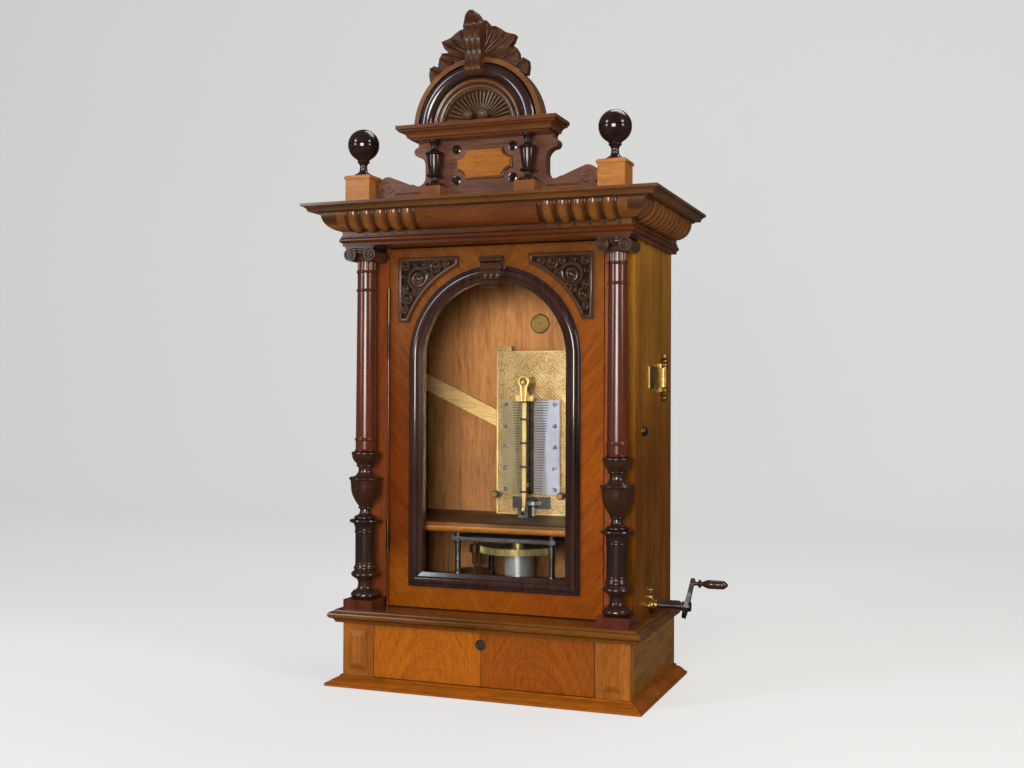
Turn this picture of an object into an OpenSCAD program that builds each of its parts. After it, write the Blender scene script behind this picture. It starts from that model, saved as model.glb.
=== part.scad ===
// Upright disc music box: a glazed cabinet with turned columns, a gadrooned
// cornice and a carved gallery, holding a two-comb disc movement over a
// spring motor that a side crank winds.
// Millimetres, +Z up, front towards -Y, origin at the middle of the underside.

/* [Case] */
// Width of the upper case across its sides
case_w = 478; // [466:1:500]
// Depth of the upper case, front to back
case_d = 238; // [232:1:260]
// Height of the upper case from the waist board to the cornice
case_h = 602; // [590:1:640]
// Thickness of the case and base boards
board_t = 18; // [15:1:22]
// Thickness of the back panel
back_t = 8; // [6:1:12]
// Width of each front corner post, case side included
post_w = 50; // [46:1:54]
// Thickness of the front corner posts
post_t = 24; // [20:1:28]

/* [Base] */
// Width of the base box
base_w = 492; // [484:1:510]
// Depth of the base box
base_d = 289; // [280:1:310]
// Height of the base box between plinth and waist board
base_h = 88; // [76:1:100]
// How far the plinth moulding stands out from the base
plinth_lip = 23; // [16:1:28]
// Height of the plinth moulding
plinth_h = 16; // [12:1:22]
// Radius of the plinth moulding's round
plinth_r = 26; // [24:1:34]
// How far the waist board stands out from the base
waist_lip = 20; // [20:1:26]
// Thickness of the waist board with its moulding
waist_h = 21; // [19:1:26]
// Width of the base's front stiles
stile_w = 56; // [50:1:64]
// Thickness of the base's front stiles and of the drawer front
stile_t = 20; // [16:1:24]
// Margin round the raised panels on the stiles
panel_margin = 12; // [10:1:16]
// Height of the raised panels above the stile
panel_rise = 8; // [6:0.5:9]

/* [Drawer] */
// Gap round the drawer front
drawer_gap = 1; // [0.6:0.1:1.6]
// Depth of the drawer box behind its front
drawer_d = 210; // [180:1:225]
// Thickness of the drawer's side and back boards
drawer_t = 10; // [8:1:14]
// Thickness of the drawer's bottom board
drawer_bottom_t = 6; // [4:1:9]
// Height of the drawer box
drawer_h = 62; // [50:1:66]
// Height of the runners that the drawer slides on
runner_h = 4; // [3:0.5:6]
// Radius of the drawer's round lock escutcheon
lock_r = 8.5; // [7:0.5:11]
// Depth of the lock's centre below the drawer front's top edge
lock_drop = 20; // [16:1:30]

/* [Door] */
// Gap between the door and its posts, sill and head
door_gap = 1.5; // [1.2:0.1:2]
// Thickness of the door's frame
door_t = 22; // [18:1:24]
// Width of the post and door frame beside the glass that shows
sight_side = 114; // [111:1:119]
// Height of the case above the crown of the glass that shows
sight_head = 60; // [56:1:66]
// Height of the glass's sill above the waist board
sight_sill = 62; // [50:1:74]
// Width of the arch moulding
arch_band = 25; // [22:1:27]
// How far the arch moulding stands out from the door
arch_rise = 9; // [7:0.5:10]
// How far the arch moulding laps over the glass's edge
glass_lap = 8; // [6:0.5:10]
// Thickness of the glass
glass_t = 3; // [2:0.5:4]
// Depth of the glass behind the door's front face
glass_set = 10; // [8:0.5:14]
// Width of each carved spandrel
spandrel_w = 109; // [90:1:112]
// Distance of the spandrels from the door's side edge
spandrel_edge = 16.5; // [14:0.5:20]
// Height of each carved spandrel
spandrel_h = 108; // [90:1:112]
// Gap between the arch moulding and the spandrel's curved side
spandrel_gap = 13.5; // [10:0.5:18]
// Width of the spandrel's frame
spandrel_frame = 7; // [5:0.5:9]
// Thickness of the spandrel carving
spandrel_t = 4; // [3:0.5:6]
// Width of the keystone at its cap
keystone_w = 40; // [32:1:46]
// Height of the keystone
keystone_h = 52; // [44:1:54]
// How far the keystone stands out from the door
keystone_rise = 19; // [14:1:22]
// Length of each door hinge
hinge_l = 56; // [44:1:70]
// Radius of the hinge knuckles
knuckle_r = 3; // [2.6:0.1:3.4]
// How far the hinge pin stands in front of the door
hinge_out = 4; // [3.8:0.1:5]
// Radius of the hinge pins
hinge_pin_r = 1.3; // [1.1:0.1:1.6]

/* [Columns] */
// Distance of each column's axis inside the case's side
column_in = 21; // [19:0.5:23]
// Distance of the columns' axes in front of the case
column_out = 28; // [27:0.5:32]
// Side of the square column block
block_w = 53; // [50:0.5:53.5]
// Height of the square column block
block_h = 16; // [12:1:20]
// Radius of the shaft under the capital
shaft_r = 15; // [13:0.5:16]
// Radius of the vase's rim
vase_r = 27.6; // [26:0.2:27.8]
// Height of the capital
capital_h = 25; // [22:1:28]
// Radius of the capital's volutes
volute_r = 10.8; // [9:0.2:10.8]
// Distance of a volute's eye from the middle of the capital's face
volute_reach = 18; // [16:0.5:19]
// Number of flutes on the column's neck
flutes = 12; // [8:1:16]

/* [Cornice] */
// How far the cornice's core stands out from the case sides
entab_lip = 8; // [6:0.5:12]
// Depth of the cornice's core
entab_d = 293; // [288:1:300]
// Thickness of the bed moulding board
bed_h = 16; // [14:1:20]
// Height of the gadrooned frieze
frieze_h = 36; // [34:1:42]
// Radius of the frieze's ovolo at the crown of the gadroons
gadroon_r = 32; // [30:0.5:34]
// How far the gadroons stand out from the ovolo between them
gadroon_rise = 4; // [3:0.5:5]
// Spacing of the gadroons
gadroon_pitch = 24.5; // [23:0.5:26]
// Radius of each gadroon's round
gadroon_lobe_r = 11; // [10:0.5:12]
// Gadroons on each side of the middle tablet
gadroons_front = 5; // [4:1:5]
// Gadroons on each side return
gadroons_side = 10; // [8:1:10]
// Width of the plain tablet in the middle of the frieze
tablet_w = 214; // [190:1:216]
// How far the crown stands out from the core
crown_lip = 53; // [46:1:58]
// Height of the crown moulding
crown_h = 14.5; // [13:0.5:18]

/* [Gallery] */
// Width of the pedestals under the finials
pedestal_w = 44; // [40:1:48]
// Height of the pedestals
pedestal_h = 49; // [44:1:56]
// Height of the pedestals' caps
pedestal_cap_h = 6; // [5:0.5:9]
// Distance of the pedestals' axes behind the cornice core's front
pedestal_in = 12.5; // [10:0.5:16]
// Radius of the ball finials
ball_r = 26; // [22:0.5:28]
// Height of the neck and foot under the ball
finial_neck_h = 31; // [26:1:36]
// Thickness of the gallery's fretted board
gallery_t = 22; // [18:1:26]
// Height of the gallery's fretted board
gallery_h = 98; // [92:1:106]
// Half width of the gallery board at its ears
gallery_half = 124; // [121:1:127]
// Distance of the gallery board's front behind the core's front
gallery_in = 13; // [11:0.5:16]
// How deep the hollows are cut into the gallery's sides under the ears
hollow_in = 20; // [18:0.5:22]
// Radius of the gallery's end scrolls
scroll_r = 16.5; // [14:0.5:18]
// Width of the gallery's raised tablet
plaque_w = 90; // [80:1:96]
// Height of the gallery's raised tablet
plaque_h = 43; // [38:1:48]
// Thickness of the gallery's raised tablet
plaque_t = 5; // [4:0.5:7]
// Radius of the turned buttons at the plaque's corners
button_r = 5.5; // [4.5:0.5:6]
// Distance of each gallery baluster from the centre line
baluster_x = 80; // [78:0.5:84]
// Side of the square block under each baluster
baluster_block = 34; // [32:1:36]
// Height of the block under each baluster
baluster_block_h = 22; // [20:1:28]
// Width of the small cornice over the gallery
shelf_w = 272; // [266:1:290]
// Depth of the small cornice over the gallery
shelf_d = 69; // [66:1:76]
// Height of the small cornice over the gallery
shelf_h = 21; // [20:1:26]
// How far the small cornice's moulding stands out
shelf_lip = 20; // [16:1:20]
// Outer radius of the pediment arch
pediment_r = 108; // [100:1:112]
// Depth of the pediment arch
pediment_d = 35; // [32:1:40]
// Inner radius of the pediment arch, round the shell
shell_r = 58; // [56:0.5:60]
// Number of ribs on the shell
shell_ribs = 21; // [15:2:23]
// Height of the leaf crest above the arch
crest_h = 70; // [60:1:80]
// Thickness of the leaf crest
crest_t = 14; // [11:1:17]
// Width of the scrolled keystone on the pediment
console_w = 30; // [24:1:34]

/* [Movement] */
// Width of the bedplate
bed_w = 136; // [132:1:142]
// Height of the bedplate
bed_plate_h = 292; // [288:1:300]
// Thickness of the bedplate
bed_t = 8; // [6:0.5:10]
// Length of the posts that hold the bedplate off the back panel
bed_post_l = 34; // [30:1:38]
// Height of the comb seats above the bedplate
seat_h = 6; // [5:0.5:8]
// Thickness of the combs
comb_t = 3; // [2:0.5:3.5]
// Height of the combs
comb_l = 166; // [160:1:168]
// Distance of the combs' outer edges from the centre line
comb_outer = 54; // [50:0.5:56]
// Number of teeth on each comb
comb_teeth = 77; // [60:1:80]
// Radius of the star wheels
star_r = 7; // [6:0.2:7.2]
// Points on each star wheel
star_points = 6; // [5:1:8]
// Clearance between the comb tips and the star wheels
tip_gap = 0.6; // [0.4:0.1:1]
// Radius of the star wheels' arbor
star_arbor_r = 1.6; // [1.2:0.1:2]
// Distance from the bedplate's foot to the combs' foot
comb_rise = 38; // [36:1:40]
// Distance from the combs' head to the disc spindle
spindle_rise = 32; // [30:1:36]
// Radius of the disc spindle
spindle_r = 4; // [3:0.2:4.4]
// Width of the pressure bar
bar_w = 6; // [5:0.5:7]
// Thickness of the pressure bar
bar_t = 6; // [5:0.5:7]
// Radius of the pressure bar's rollers
bar_roller_r = 6.5; // [5.5:0.1:6.6]
// Distance of each disc guide roller from the centre line
guide_x = 61; // [58:0.5:62]
// Radius of the disc guide rollers
guide_r = 6.5; // [5:0.5:7]

/* [Motor] */
// Height of the movement shelf's top above the waist board
shelf_z = 143; // [140:1:150]
// Thickness of the movement shelf
shelf_t = 18; // [15:1:22]
// Distance of the motor's axis from the centre line
motor_x = 7; // [4:0.5:9]
// Module of the great wheel's teeth
great_m = 1.2; // [1.1:0.05:1.25]
// Teeth on the great wheel
great_teeth = 108; // [104:4:112]
// Teeth on the pinions that the great wheel drives
pinion_teeth = 16; // [16:1:18]
// Thickness of the great wheel's rim
great_t = 11; // [9:0.5:12]
// Radius of the spring barrel
barrel_r = 23; // [20:0.5:26]
// Thickness of the motor plates
plate_t = 6; // [4:0.5:7]
// Distance between the motor plates
plate_gap = 79; // [76:1:82]
// Gap between the upper motor plate and the shelf
hanger_l = 6; // [5:0.5:9]
// Radius of the motor pillars
pillar_r = 5; // [4:0.5:6]
// Module of the governor's teeth
fan_m = 1; // [0.9:0.05:1.1]
// Teeth on the governor's intermediate wheel
second_teeth = 60; // [56:2:62]
// Teeth on the fan's pinion
fan_teeth = 16; // [14:1:18]
// Radius of the governor fan
fan_r = 14; // [11:0.5:16]

/* [Winding] */
// Height of the crank shaft above the waist board
crank_z = 14; // [13.5:0.5:15]
// Radius of the crank shaft
crank_r = 4.8; // [4.2:0.1:5.2]
// Distance from the case side to the crank's hub
crank_out = 52; // [46:1:60]
// Throw of the crank
crank_throw = 38; // [34:1:46]
// Lean of the crank arm away from the case
crank_lean = 14; // [8:1:18]
// Length of the crank's grip
grip_l = 48; // [40:1:56]
// Largest radius of the crank's grip
grip_r = 7; // [6:0.2:8]
// Teeth on the crank shaft's pinion
wind_teeth = 16; // [16:1:16]
// Teeth on the crown wheel of the barrel arbor
crown_teeth = 56; // [52:2:60]
// Radius of the barrel arbor
arbor_r = 5; // [4:0.2:6]

/* [Side fittings] */
// Height of the coin plate's middle above the waist board
coin_z = 386; // [370:1:400]
// Length of the coin plate
coin_plate_l = 66; // [56:1:70]
// Height of the coin plate
coin_plate_h = 35; // [30:1:40]
// Height of the coin slot casting
coin_cast_h = 79; // [70:1:86]
// Height of the side keyhole above the waist board
side_key_z = 299; // [280:1:320]
// Distance of the side keyhole behind the case's front
side_key_y = 48; // [36:1:60]
// Height of the back escutcheon above the waist board
back_key_z = 485; // [470:1:500]
// Radius of the back escutcheon
back_key_r = 18; // [15:0.5:22]
// Height of the coin chute's upper end above the waist board
chute_z = 365; // [350:1:380]
// Depth of the coin chute board
chute_t = 13; // [10:0.5:16]
// Radius of the round keyhole escutcheons on the case
key_r = 8; // [6:0.5:10]

/* [Fits] */
// Radial running clearance of shafts in their bores
run = 0.05; // [0.03:0.01:0.08]
// Clearance of parts that pass through a wider hole
pass = 1; // [0.6:0.1:1.5]
// Side clearance between parts that move past each other
side_gap = 0.4; // [0.3:0.1:0.6]

/* [Hidden] */
$fn = 48;
eps = 0.01;

// Colours of the woods and metals
walnut = [0.55, 0.29, 0.12];
walnut_dark = [0.30, 0.14, 0.07];
ebonised = [0.16, 0.08, 0.05];
oak = [0.62, 0.42, 0.22];
brass = [0.80, 0.62, 0.28];
gilt = [0.85, 0.65, 0.30];
steel = [0.62, 0.63, 0.65];
iron = [0.22, 0.22, 0.23];

// Levels and planes that the pieces share
back_y = (base_d + plinth_lip) / 2;
base_y = back_y - base_d;
case_y = back_y - case_d;
entab_y = back_y - entab_d;
entab_w = case_w + 2 * entab_lip;
base_z = plinth_h;
waist_z = base_z + base_h;
floor_z = waist_z + waist_h;
bed_z = floor_z + case_h;
frieze_z = bed_z + bed_h;
crown_z = frieze_z + frieze_h;
top_z = crown_z + crown_h;
in_half = case_w / 2 - board_t;
in_back = back_y - back_t;
open_half = case_w / 2 - post_w;
column_x = case_w / 2 - column_in;

// Turned half-round, hollow when b is negative, from height z0 to z1
function bead(z0, z1, r, b, n = 8) =
    [for (i = [0:n]) [r + b * sin(180 * i / n), z0 + (z1 - z0) * i / n]];
// Turned curve from radius r0 to r1, bellied out by b
function swell(z0, z1, r0, r1, b = 0, n = 8) =
    [for (i = [0:n]) [r0 + (r1 - r0) * i / n + b * sin(180 * i / n), z0 + (z1 - z0) * i / n]];
// Part of a ball of radius r centred at height zc, from angle a0 to a1
function ball_arc(r, zc, a0, a1, n = 12) =
    [for (i = [0:n]) let (a = a0 + (a1 - a0) * i / n) [r * cos(a), zc + r * sin(a)]];

module turned(outline) {
    rotate_extrude() polygon(outline);
}

module pair() {
    for (s = [0, 1]) mirror([s, 0, 0]) children();
}

// A section drawn in X and Z, run along Y between two planes
module along_y(y0, y1) {
    translate([0, y1, 0]) rotate([90, 0, 0]) linear_extrude(y1 - y0) children();
}

// A section drawn in Y and Z, run along X between two planes
module along_x(x0, x1) {
    translate([x0, 0, 0]) rotate([90, 0, 90]) linear_extrude(x1 - x0) children();
}

// A board whose front and side edges carry the moulding given as its child,
// drawn outwards from the core's edge; the back edge is square
module moulded_board(w, y_front, y_back, h, lip) {
    intersection() {
        along_y(y_front - lip - 1, y_back) {
            translate([-w / 2, 0]) square([w, h]);
            for (s = [0, 1]) mirror([s, 0]) translate([w / 2, 0]) children();
        }
        along_x(-w / 2 - lip - 1, w / 2 + lip + 1) {
            translate([y_front, 0]) square([y_back - y_front, h]);
            translate([y_front, 0]) mirror([1, 0]) children();
        }
    }
}

// Spur wheel with involute flanks, slightly thinned teeth and a centred tooth on +X
function involute(rb, r) = let (t = sqrt(max(0, pow(r / rb, 2) - 1))) t * 180 / PI - atan(t);
module gear_2d(m, teeth) {
    rp = m * teeth / 2;
    rb = rp * cos(20);
    ra = rp + 0.8 * m;
    rf = rp - 1.1 * m;
    r0 = max(rb, rf);
    half = 90 / teeth - 3.6 / (PI * rp) * m + involute(rb, rp);
    steps = 4;
    flank = [for (i = [0:steps]) let (r = r0 + (ra - r0) * i / steps) [r, half - involute(rb, r)]];
    polygon([for (k = [0:teeth - 1]) let (a = 360 * k / teeth) each concat(
        [[rf * cos(a - flank[0][1]), rf * sin(a - flank[0][1])]],
        [for (p = flank) [p[0] * cos(a - p[1]), p[0] * sin(a - p[1])]],
        [for (i = [steps:-1:0]) let (p = flank[i]) [p[0] * cos(a + p[1]), p[0] * sin(a + p[1])]],
        [[rf * cos(a + flank[0][1]), rf * sin(a + flank[0][1])]])]);
}

// Base

// Plinth moulding: a fillet, a broad round and an upright edge
module plinth_moulding() color(walnut) {
    fillet = 2.5;
    edge = 4.5;
    difference() {
        moulded_board(base_w, base_y, back_y, plinth_h, plinth_lip) {
            translate([-1, 0]) square([5, plinth_h]);
            intersection() {
                translate([-1, 0]) square([plinth_lip, plinth_h]);
                translate([0, plinth_h - fillet - plinth_r]) circle(plinth_r);
            }
            translate([-1, 0]) square([plinth_lip + 1, edge]);
        }
        translate([-base_w / 2, base_y, -1]) cube([base_w, base_d + 1, plinth_h + 2]);
    }
}

module base_boards() color(oak) {
    translate([-base_w / 2, base_y, 0]) cube([base_w, base_d, plinth_h]);
    pair() translate([base_w / 2 - board_t, base_y + stile_t, base_z])
        cube([board_t, base_d - stile_t, base_h]);
    translate([-base_w / 2 + board_t, back_y - back_t, base_z])
        cube([base_w - 2 * board_t, back_t, base_h]);
    pair() translate([box_half - runner_w, base_y + stile_t + 1, base_z - eps])
        cube([runner_w, drawer_d + 20, runner_h + eps]);
}

// Front stiles, each with a raised and bevelled panel
module base_stiles() color(walnut) {
    lip = 1.5;
    bevel = panel_rise * 1.2;
    pw = stile_w - 2 * panel_margin;
    ph = base_h - 2 * panel_margin;
    pair() translate([base_w / 2 - stile_w, base_y, base_z]) {
        cube([stile_w, stile_t, base_h]);
        translate([panel_margin, 0, panel_margin]) intersection() {
            along_y(-panel_rise, eps) polygon([[0, 0], [pw, 0], [pw, ph], [0, ph]]);
            along_x(0, pw) polygon([[eps, 0], [-lip, 0], [-panel_rise, bevel],
                [-panel_rise, ph - bevel], [-lip, ph], [eps, ph]]);
            linear_extrude(ph) polygon([[0, eps], [0, -lip], [bevel, -panel_rise],
                [pw - bevel, -panel_rise], [pw, -lip], [pw, eps]]);
        }
    }
}

// Drawer

drawer_half = base_w / 2 - stile_w - drawer_gap;
box_half = drawer_half - 6;
drawer_z = base_z + runner_h;
runner_w = 20;

module drawer_front() color(walnut)
    translate([-drawer_half, base_y, base_z + drawer_gap])
        cube([2 * drawer_half, stile_t, base_h - 2 * drawer_gap]);

module drawer_box() color(oak) {
    y0 = base_y + stile_t;
    pair() translate([box_half - drawer_t, y0, drawer_z]) cube([drawer_t, drawer_d, drawer_h]);
    translate([-box_half + drawer_t, y0 + drawer_d - drawer_t, drawer_z])
        cube([2 * (box_half - drawer_t), drawer_t, drawer_h]);
    translate([-box_half + drawer_t, y0, drawer_z + 3])
        cube([2 * (box_half - drawer_t), drawer_d - drawer_t, drawer_bottom_t]);
}

// Round plate with a turned rim and a keyhole, facing -Y
module key_plate(r, t) {
    rotate([90, 0, 0]) difference() {
        turned([[0, 0], [r, 0], [r, t * 0.5], [r * 0.86, t], [r * 0.68, t],
            [r * 0.6, t * 0.7], [0, t * 0.7]]);
        translate([0, r * 0.1, -1]) cylinder(r = r * 0.17, h = t + 2);
        translate([-r * 0.09, -r * 0.42, -1]) cube([r * 0.18, r * 0.5, t + 2]);
    }
}

module drawer_lock() color(iron)
    translate([0, base_y, base_z + base_h - drawer_gap - lock_drop]) key_plate(lock_r, 2.5);

// Waist board: a bead set back over a larger nose, with a cove under the nose
module waist_board() color(walnut) {
    step = waist_h / 3;
    nose = waist_h / 4;
    bead_r = waist_h / 6;
    bead_x = waist_lip * 0.6 - bead_r;
    translate([0, 0, waist_z]) moulded_board(base_w, base_y, back_y, waist_h, waist_lip) {
        translate([-1, step]) square([bead_x + 1, waist_h - step]);
        translate([bead_x, waist_h - bead_r]) circle(bead_r);
        translate([-1, step]) square([waist_lip - nose + 1, 2 * nose]);
        translate([waist_lip - nose, step + nose]) circle(nose);
        difference() {
            translate([-1, 0]) square([waist_lip - 2, step + eps]);
            translate([waist_lip - 3, 0]) circle(step);
        }
    }
}

// Upper case

shaft_z = floor_z + crank_z;
shelf_top = floor_z + shelf_z;
bed_front = in_back - bed_post_l - bed_t;
comb_y = bed_front - seat_h - comb_t;
star_y = comb_y - 3;
disc_y = star_y - star_r - 2;
shaft_y = disc_y + 9;
great_c = great_m * (great_teeth + pinion_teeth) / 2;
motor_y = shaft_y - great_c;

module case_sides() color(walnut) {
    difference() {
        translate([in_half, case_y, floor_z]) cube([board_t, case_d, case_h]);
        translate([in_half - 1, motor_y, shaft_z]) rotate([0, 90, 0])
            cylinder(r = crank_r + pass, h = board_t + 2);
    }
    translate([-case_w / 2, case_y, floor_z]) cube([board_t, case_d, case_h]);
}

module case_back() color(walnut_dark)
    translate([-in_half, in_back, floor_z]) cube([2 * in_half, back_t, case_h]);

module corner_posts() color(walnut)
    pair() translate([open_half, case_y, floor_z])
        cube([post_w - board_t, post_t, case_h]);

shelf_set = 6;
shelf_front = case_y + post_t + shelf_set + shelf_t / 2;
// Shelf with a round nose, bored for the drive shaft
module movement_shelf() color(walnut_dark) {
    z0 = shelf_top - shelf_t;
    difference() {
        translate([0, 0, z0]) along_x(-in_half, in_half) {
            translate([shelf_front, 0]) square([in_back - shelf_front, shelf_t]);
            translate([shelf_front, shelf_t / 2]) circle(shelf_t / 2);
        }
        translate([motor_x, shaft_y, z0 - 1]) cylinder(r = drive_r + pass, h = shelf_t + 2);
    }
}

// Door

door_half = open_half - door_gap;
door_z0 = floor_z + door_gap;
door_z1 = bed_z - door_gap;
sill_z = floor_z + sight_sill;
arch_r = case_w / 2 - sight_side;
spring_z = bed_z - sight_head - arch_r;
glass_half = arch_r + glass_lap;
glass_fit = 0.3;

module door_frame() color(walnut) {
    pair() translate([glass_half, case_y, sill_z - glass_lap])
        cube([door_half - glass_half, door_t, spring_z - sill_z + glass_lap]);
    translate([-door_half, case_y, door_z0]) cube([2 * door_half, door_t, sill_z - glass_lap - door_z0]);
}

module door_head() color(walnut)
    along_y(case_y, case_y + door_t) difference() {
        translate([-door_half, spring_z]) square([2 * door_half, door_z1 - spring_z]);
        translate([0, spring_z]) circle(glass_half);
    }

// Section of the arch moulding: u across from the glass edge, v towards the front
module arch_section() {
    roll = arch_band * 0.26;
    translate([0, -glass_set]) square([glass_lap - glass_fit, glass_set + 2]);
    polygon([[0, -glass_set], [0, 1.5], [arch_band * 0.34, arch_rise * 0.62],
        [arch_band * 0.34, 0], [glass_lap - glass_fit, 0], [glass_lap - glass_fit, -glass_set]]);
    translate([arch_band * 0.3, 0]) square([arch_band * 0.7 - 3, arch_rise * 0.62]);
    translate([arch_band * 0.56, arch_rise - roll]) intersection() {
        circle(roll);
        translate([-roll, roll - arch_rise]) square([2 * roll, arch_rise]);
    }
    translate([arch_band - 4, 0]) square([4, arch_rise * 0.42]);
}

module arch_moulding() color(ebonised) {
    far = arch_r + 2 * arch_band;
    low = sill_z - 2 * arch_band;
    translate([0, case_y, 0]) {
        translate([0, 0, spring_z]) rotate([90, 0, 0]) rotate_extrude(angle = 180)
            translate([arch_r, 0]) arch_section();
        intersection() {
            union() pair() translate([arch_r, 0, low]) linear_extrude(spring_z - low)
                mirror([0, 1]) arch_section();
            along_y(-50, 50) polygon([[-arch_r, sill_z], [arch_r, sill_z], [far, sill_z - far + arch_r],
                [far, spring_z], [-far, spring_z], [-far, sill_z - far + arch_r]]);
        }
        intersection() {
            along_x(-far, far) translate([0, sill_z]) rotate(-90)
                mirror([0, 1]) arch_section();
            along_y(-50, 50) polygon([[-arch_r, sill_z], [arch_r, sill_z], [far, sill_z - far + arch_r],
                [-far, sill_z - far + arch_r]]);
        }
    }
}

module door_glass() color([0.75, 0.85, 0.85, 0.3])
    translate([0, case_y + glass_set, 0]) along_y(0, glass_t) {
        half = glass_half - glass_fit;
        translate([-half, sill_z - glass_lap + glass_fit])
            square([2 * half, spring_z - sill_z + glass_lap - glass_fit]);
        intersection() {
            translate([0, spring_z]) circle(half);
            translate([-half, spring_z - 1]) square([2 * half, half + 2]);
        }
    }

// Pierced scrollwork in a frame whose long side follows the arch
module spandrel_2d() {
    r_in = arch_r + arch_band + spandrel_gap;
    x1 = door_half - spandrel_edge;
    z1 = door_z1 - spandrel_edge + 1;
    // Each scroll: place in from the corner and down from it, radius, width of the vine
    scrolls = [[37, 36, 20, 5], [37, 36, 10, 4], [68, 16.5, 11, 4], [16.5, 68, 11, 4], [87, 13, 7, 3.4],
        [13, 87, 7, 3.4], [14, 14, 8, 3.4], [52, 13, 7, 3], [13, 52, 7, 3],
        [59, 33, 7, 3.4], [33, 59, 7, 3.4]];
    difference() {
        translate([x1 - spandrel_w, z1 - spandrel_h]) square([spandrel_w, spandrel_h]);
        translate([0, spring_z]) circle(r_in);
        difference() {
            translate([x1 - spandrel_w + spandrel_frame, z1 - spandrel_h + spandrel_frame])
                square([spandrel_w - 2 * spandrel_frame, spandrel_h - 2 * spandrel_frame]);
            translate([0, spring_z]) circle(r_in + spandrel_frame);
        }
    }
    intersection() {
        difference() {
            translate([x1 - spandrel_w + 1, z1 - spandrel_h + 1]) square([spandrel_w - 2, spandrel_h - 2]);
            translate([0, spring_z]) circle(r_in + 1);
        }
        for (f = scrolls) translate([x1 - f[0], z1 - f[1]]) {
            difference() {
                circle(f[2]);
                circle(f[2] - f[3]);
            }
            circle(f[2] * 0.3);
            rotate(f[0] - f[1]) translate([0, -1.5]) square([f[2] - 1, 3]);
        }
    }
}

module spandrels() color(ebonised)
    along_y(case_y - spandrel_t, case_y) {
        spandrel_2d();
        mirror([1, 0]) spandrel_2d();
    }

// Tapered keystone with a moulded cap and a scrolled front
module door_keystone() color(ebonised) {
    z1 = bed_z - 20;
    cap_h = 9;
    arch_top = spring_z + arch_r + arch_band;
    translate([0, case_y, 0]) {
        intersection() {
            along_y(-keystone_rise, -arch_rise - 0.3) polygon([[-keystone_w * 0.34, z1 - keystone_h],
                [keystone_w * 0.34, z1 - keystone_h], [keystone_w * 0.43, z1 - cap_h],
                [-keystone_w * 0.43, z1 - cap_h]]);
            along_x(-keystone_w, keystone_w) {
                translate([-arch_rise - 3, z1 - keystone_h + 7]) circle(7);
                translate([-arch_rise - 3, z1 - cap_h - 8]) circle(8);
                translate([-arch_rise - 4.5, z1 - keystone_h + 5])
                    square([6, keystone_h - cap_h - 5]);
            }
        }
        translate([-keystone_w / 2, -keystone_rise, z1 - cap_h]) cube([keystone_w, keystone_rise, 3.5]);
        translate([-keystone_w * 0.46, -keystone_rise + 2, z1 - cap_h + 3.5])
            cube([keystone_w * 0.92, keystone_rise - 2, cap_h - 3.5]);
        if (z1 - cap_h > arch_top + 1)
            translate([-keystone_w * 0.4, -arch_rise - 1, arch_top + 0.3])
                cube([keystone_w * 0.8, arch_rise + 1, z1 - cap_h - arch_top - 0.3]);
    }
}

// Hinges: two case knuckles with the pin, one door knuckle between them
hinge_x = -open_half + door_gap / 2;
hinge_y = case_y - hinge_out;
hinge_zs = [door_z0 + 90, spring_z + 60];
leaf_t = door_gap / 2 - 0.15;
leaf_d = 20;
knuckle_l = hinge_l / 3;

module door_hinge_leaves() color(brass)
    for (z = hinge_zs) {
        translate([-door_half - leaf_t, case_y + 0.5, z]) cube([leaf_t, leaf_d, hinge_l]);
        difference() {
            union() {
                translate([hinge_x, hinge_y, z + knuckle_l + side_gap])
                    cylinder(r = knuckle_r, h = knuckle_l - 2 * side_gap);
                translate([-door_half - leaf_t, hinge_y, z + knuckle_l + side_gap])
                    cube([leaf_t, hinge_out + 1, knuckle_l - 2 * side_gap]);
            }
            translate([hinge_x, hinge_y, z]) cylinder(r = hinge_pin_r + run, h = hinge_l);
        }
    }

module case_hinge_leaves() color(brass)
    for (z = hinge_zs) {
        translate([-open_half, case_y + 0.5, z]) cube([leaf_t, leaf_d, hinge_l]);
        for (k = [0, 2]) {
            translate([hinge_x, hinge_y, z + k * knuckle_l]) cylinder(r = knuckle_r, h = knuckle_l);
            translate([-open_half, hinge_y, z + k * knuckle_l]) cube([leaf_t, hinge_out + 1, knuckle_l]);
        }
        translate([hinge_x, hinge_y, z]) cylinder(r = hinge_pin_r, h = hinge_l);
    }

// Columns

column_y = case_y - column_out;
block_top = floor_z + block_h;
capital_z = bed_z - capital_h;
neck_h = 14;
column_h = capital_z - block_top;

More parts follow.
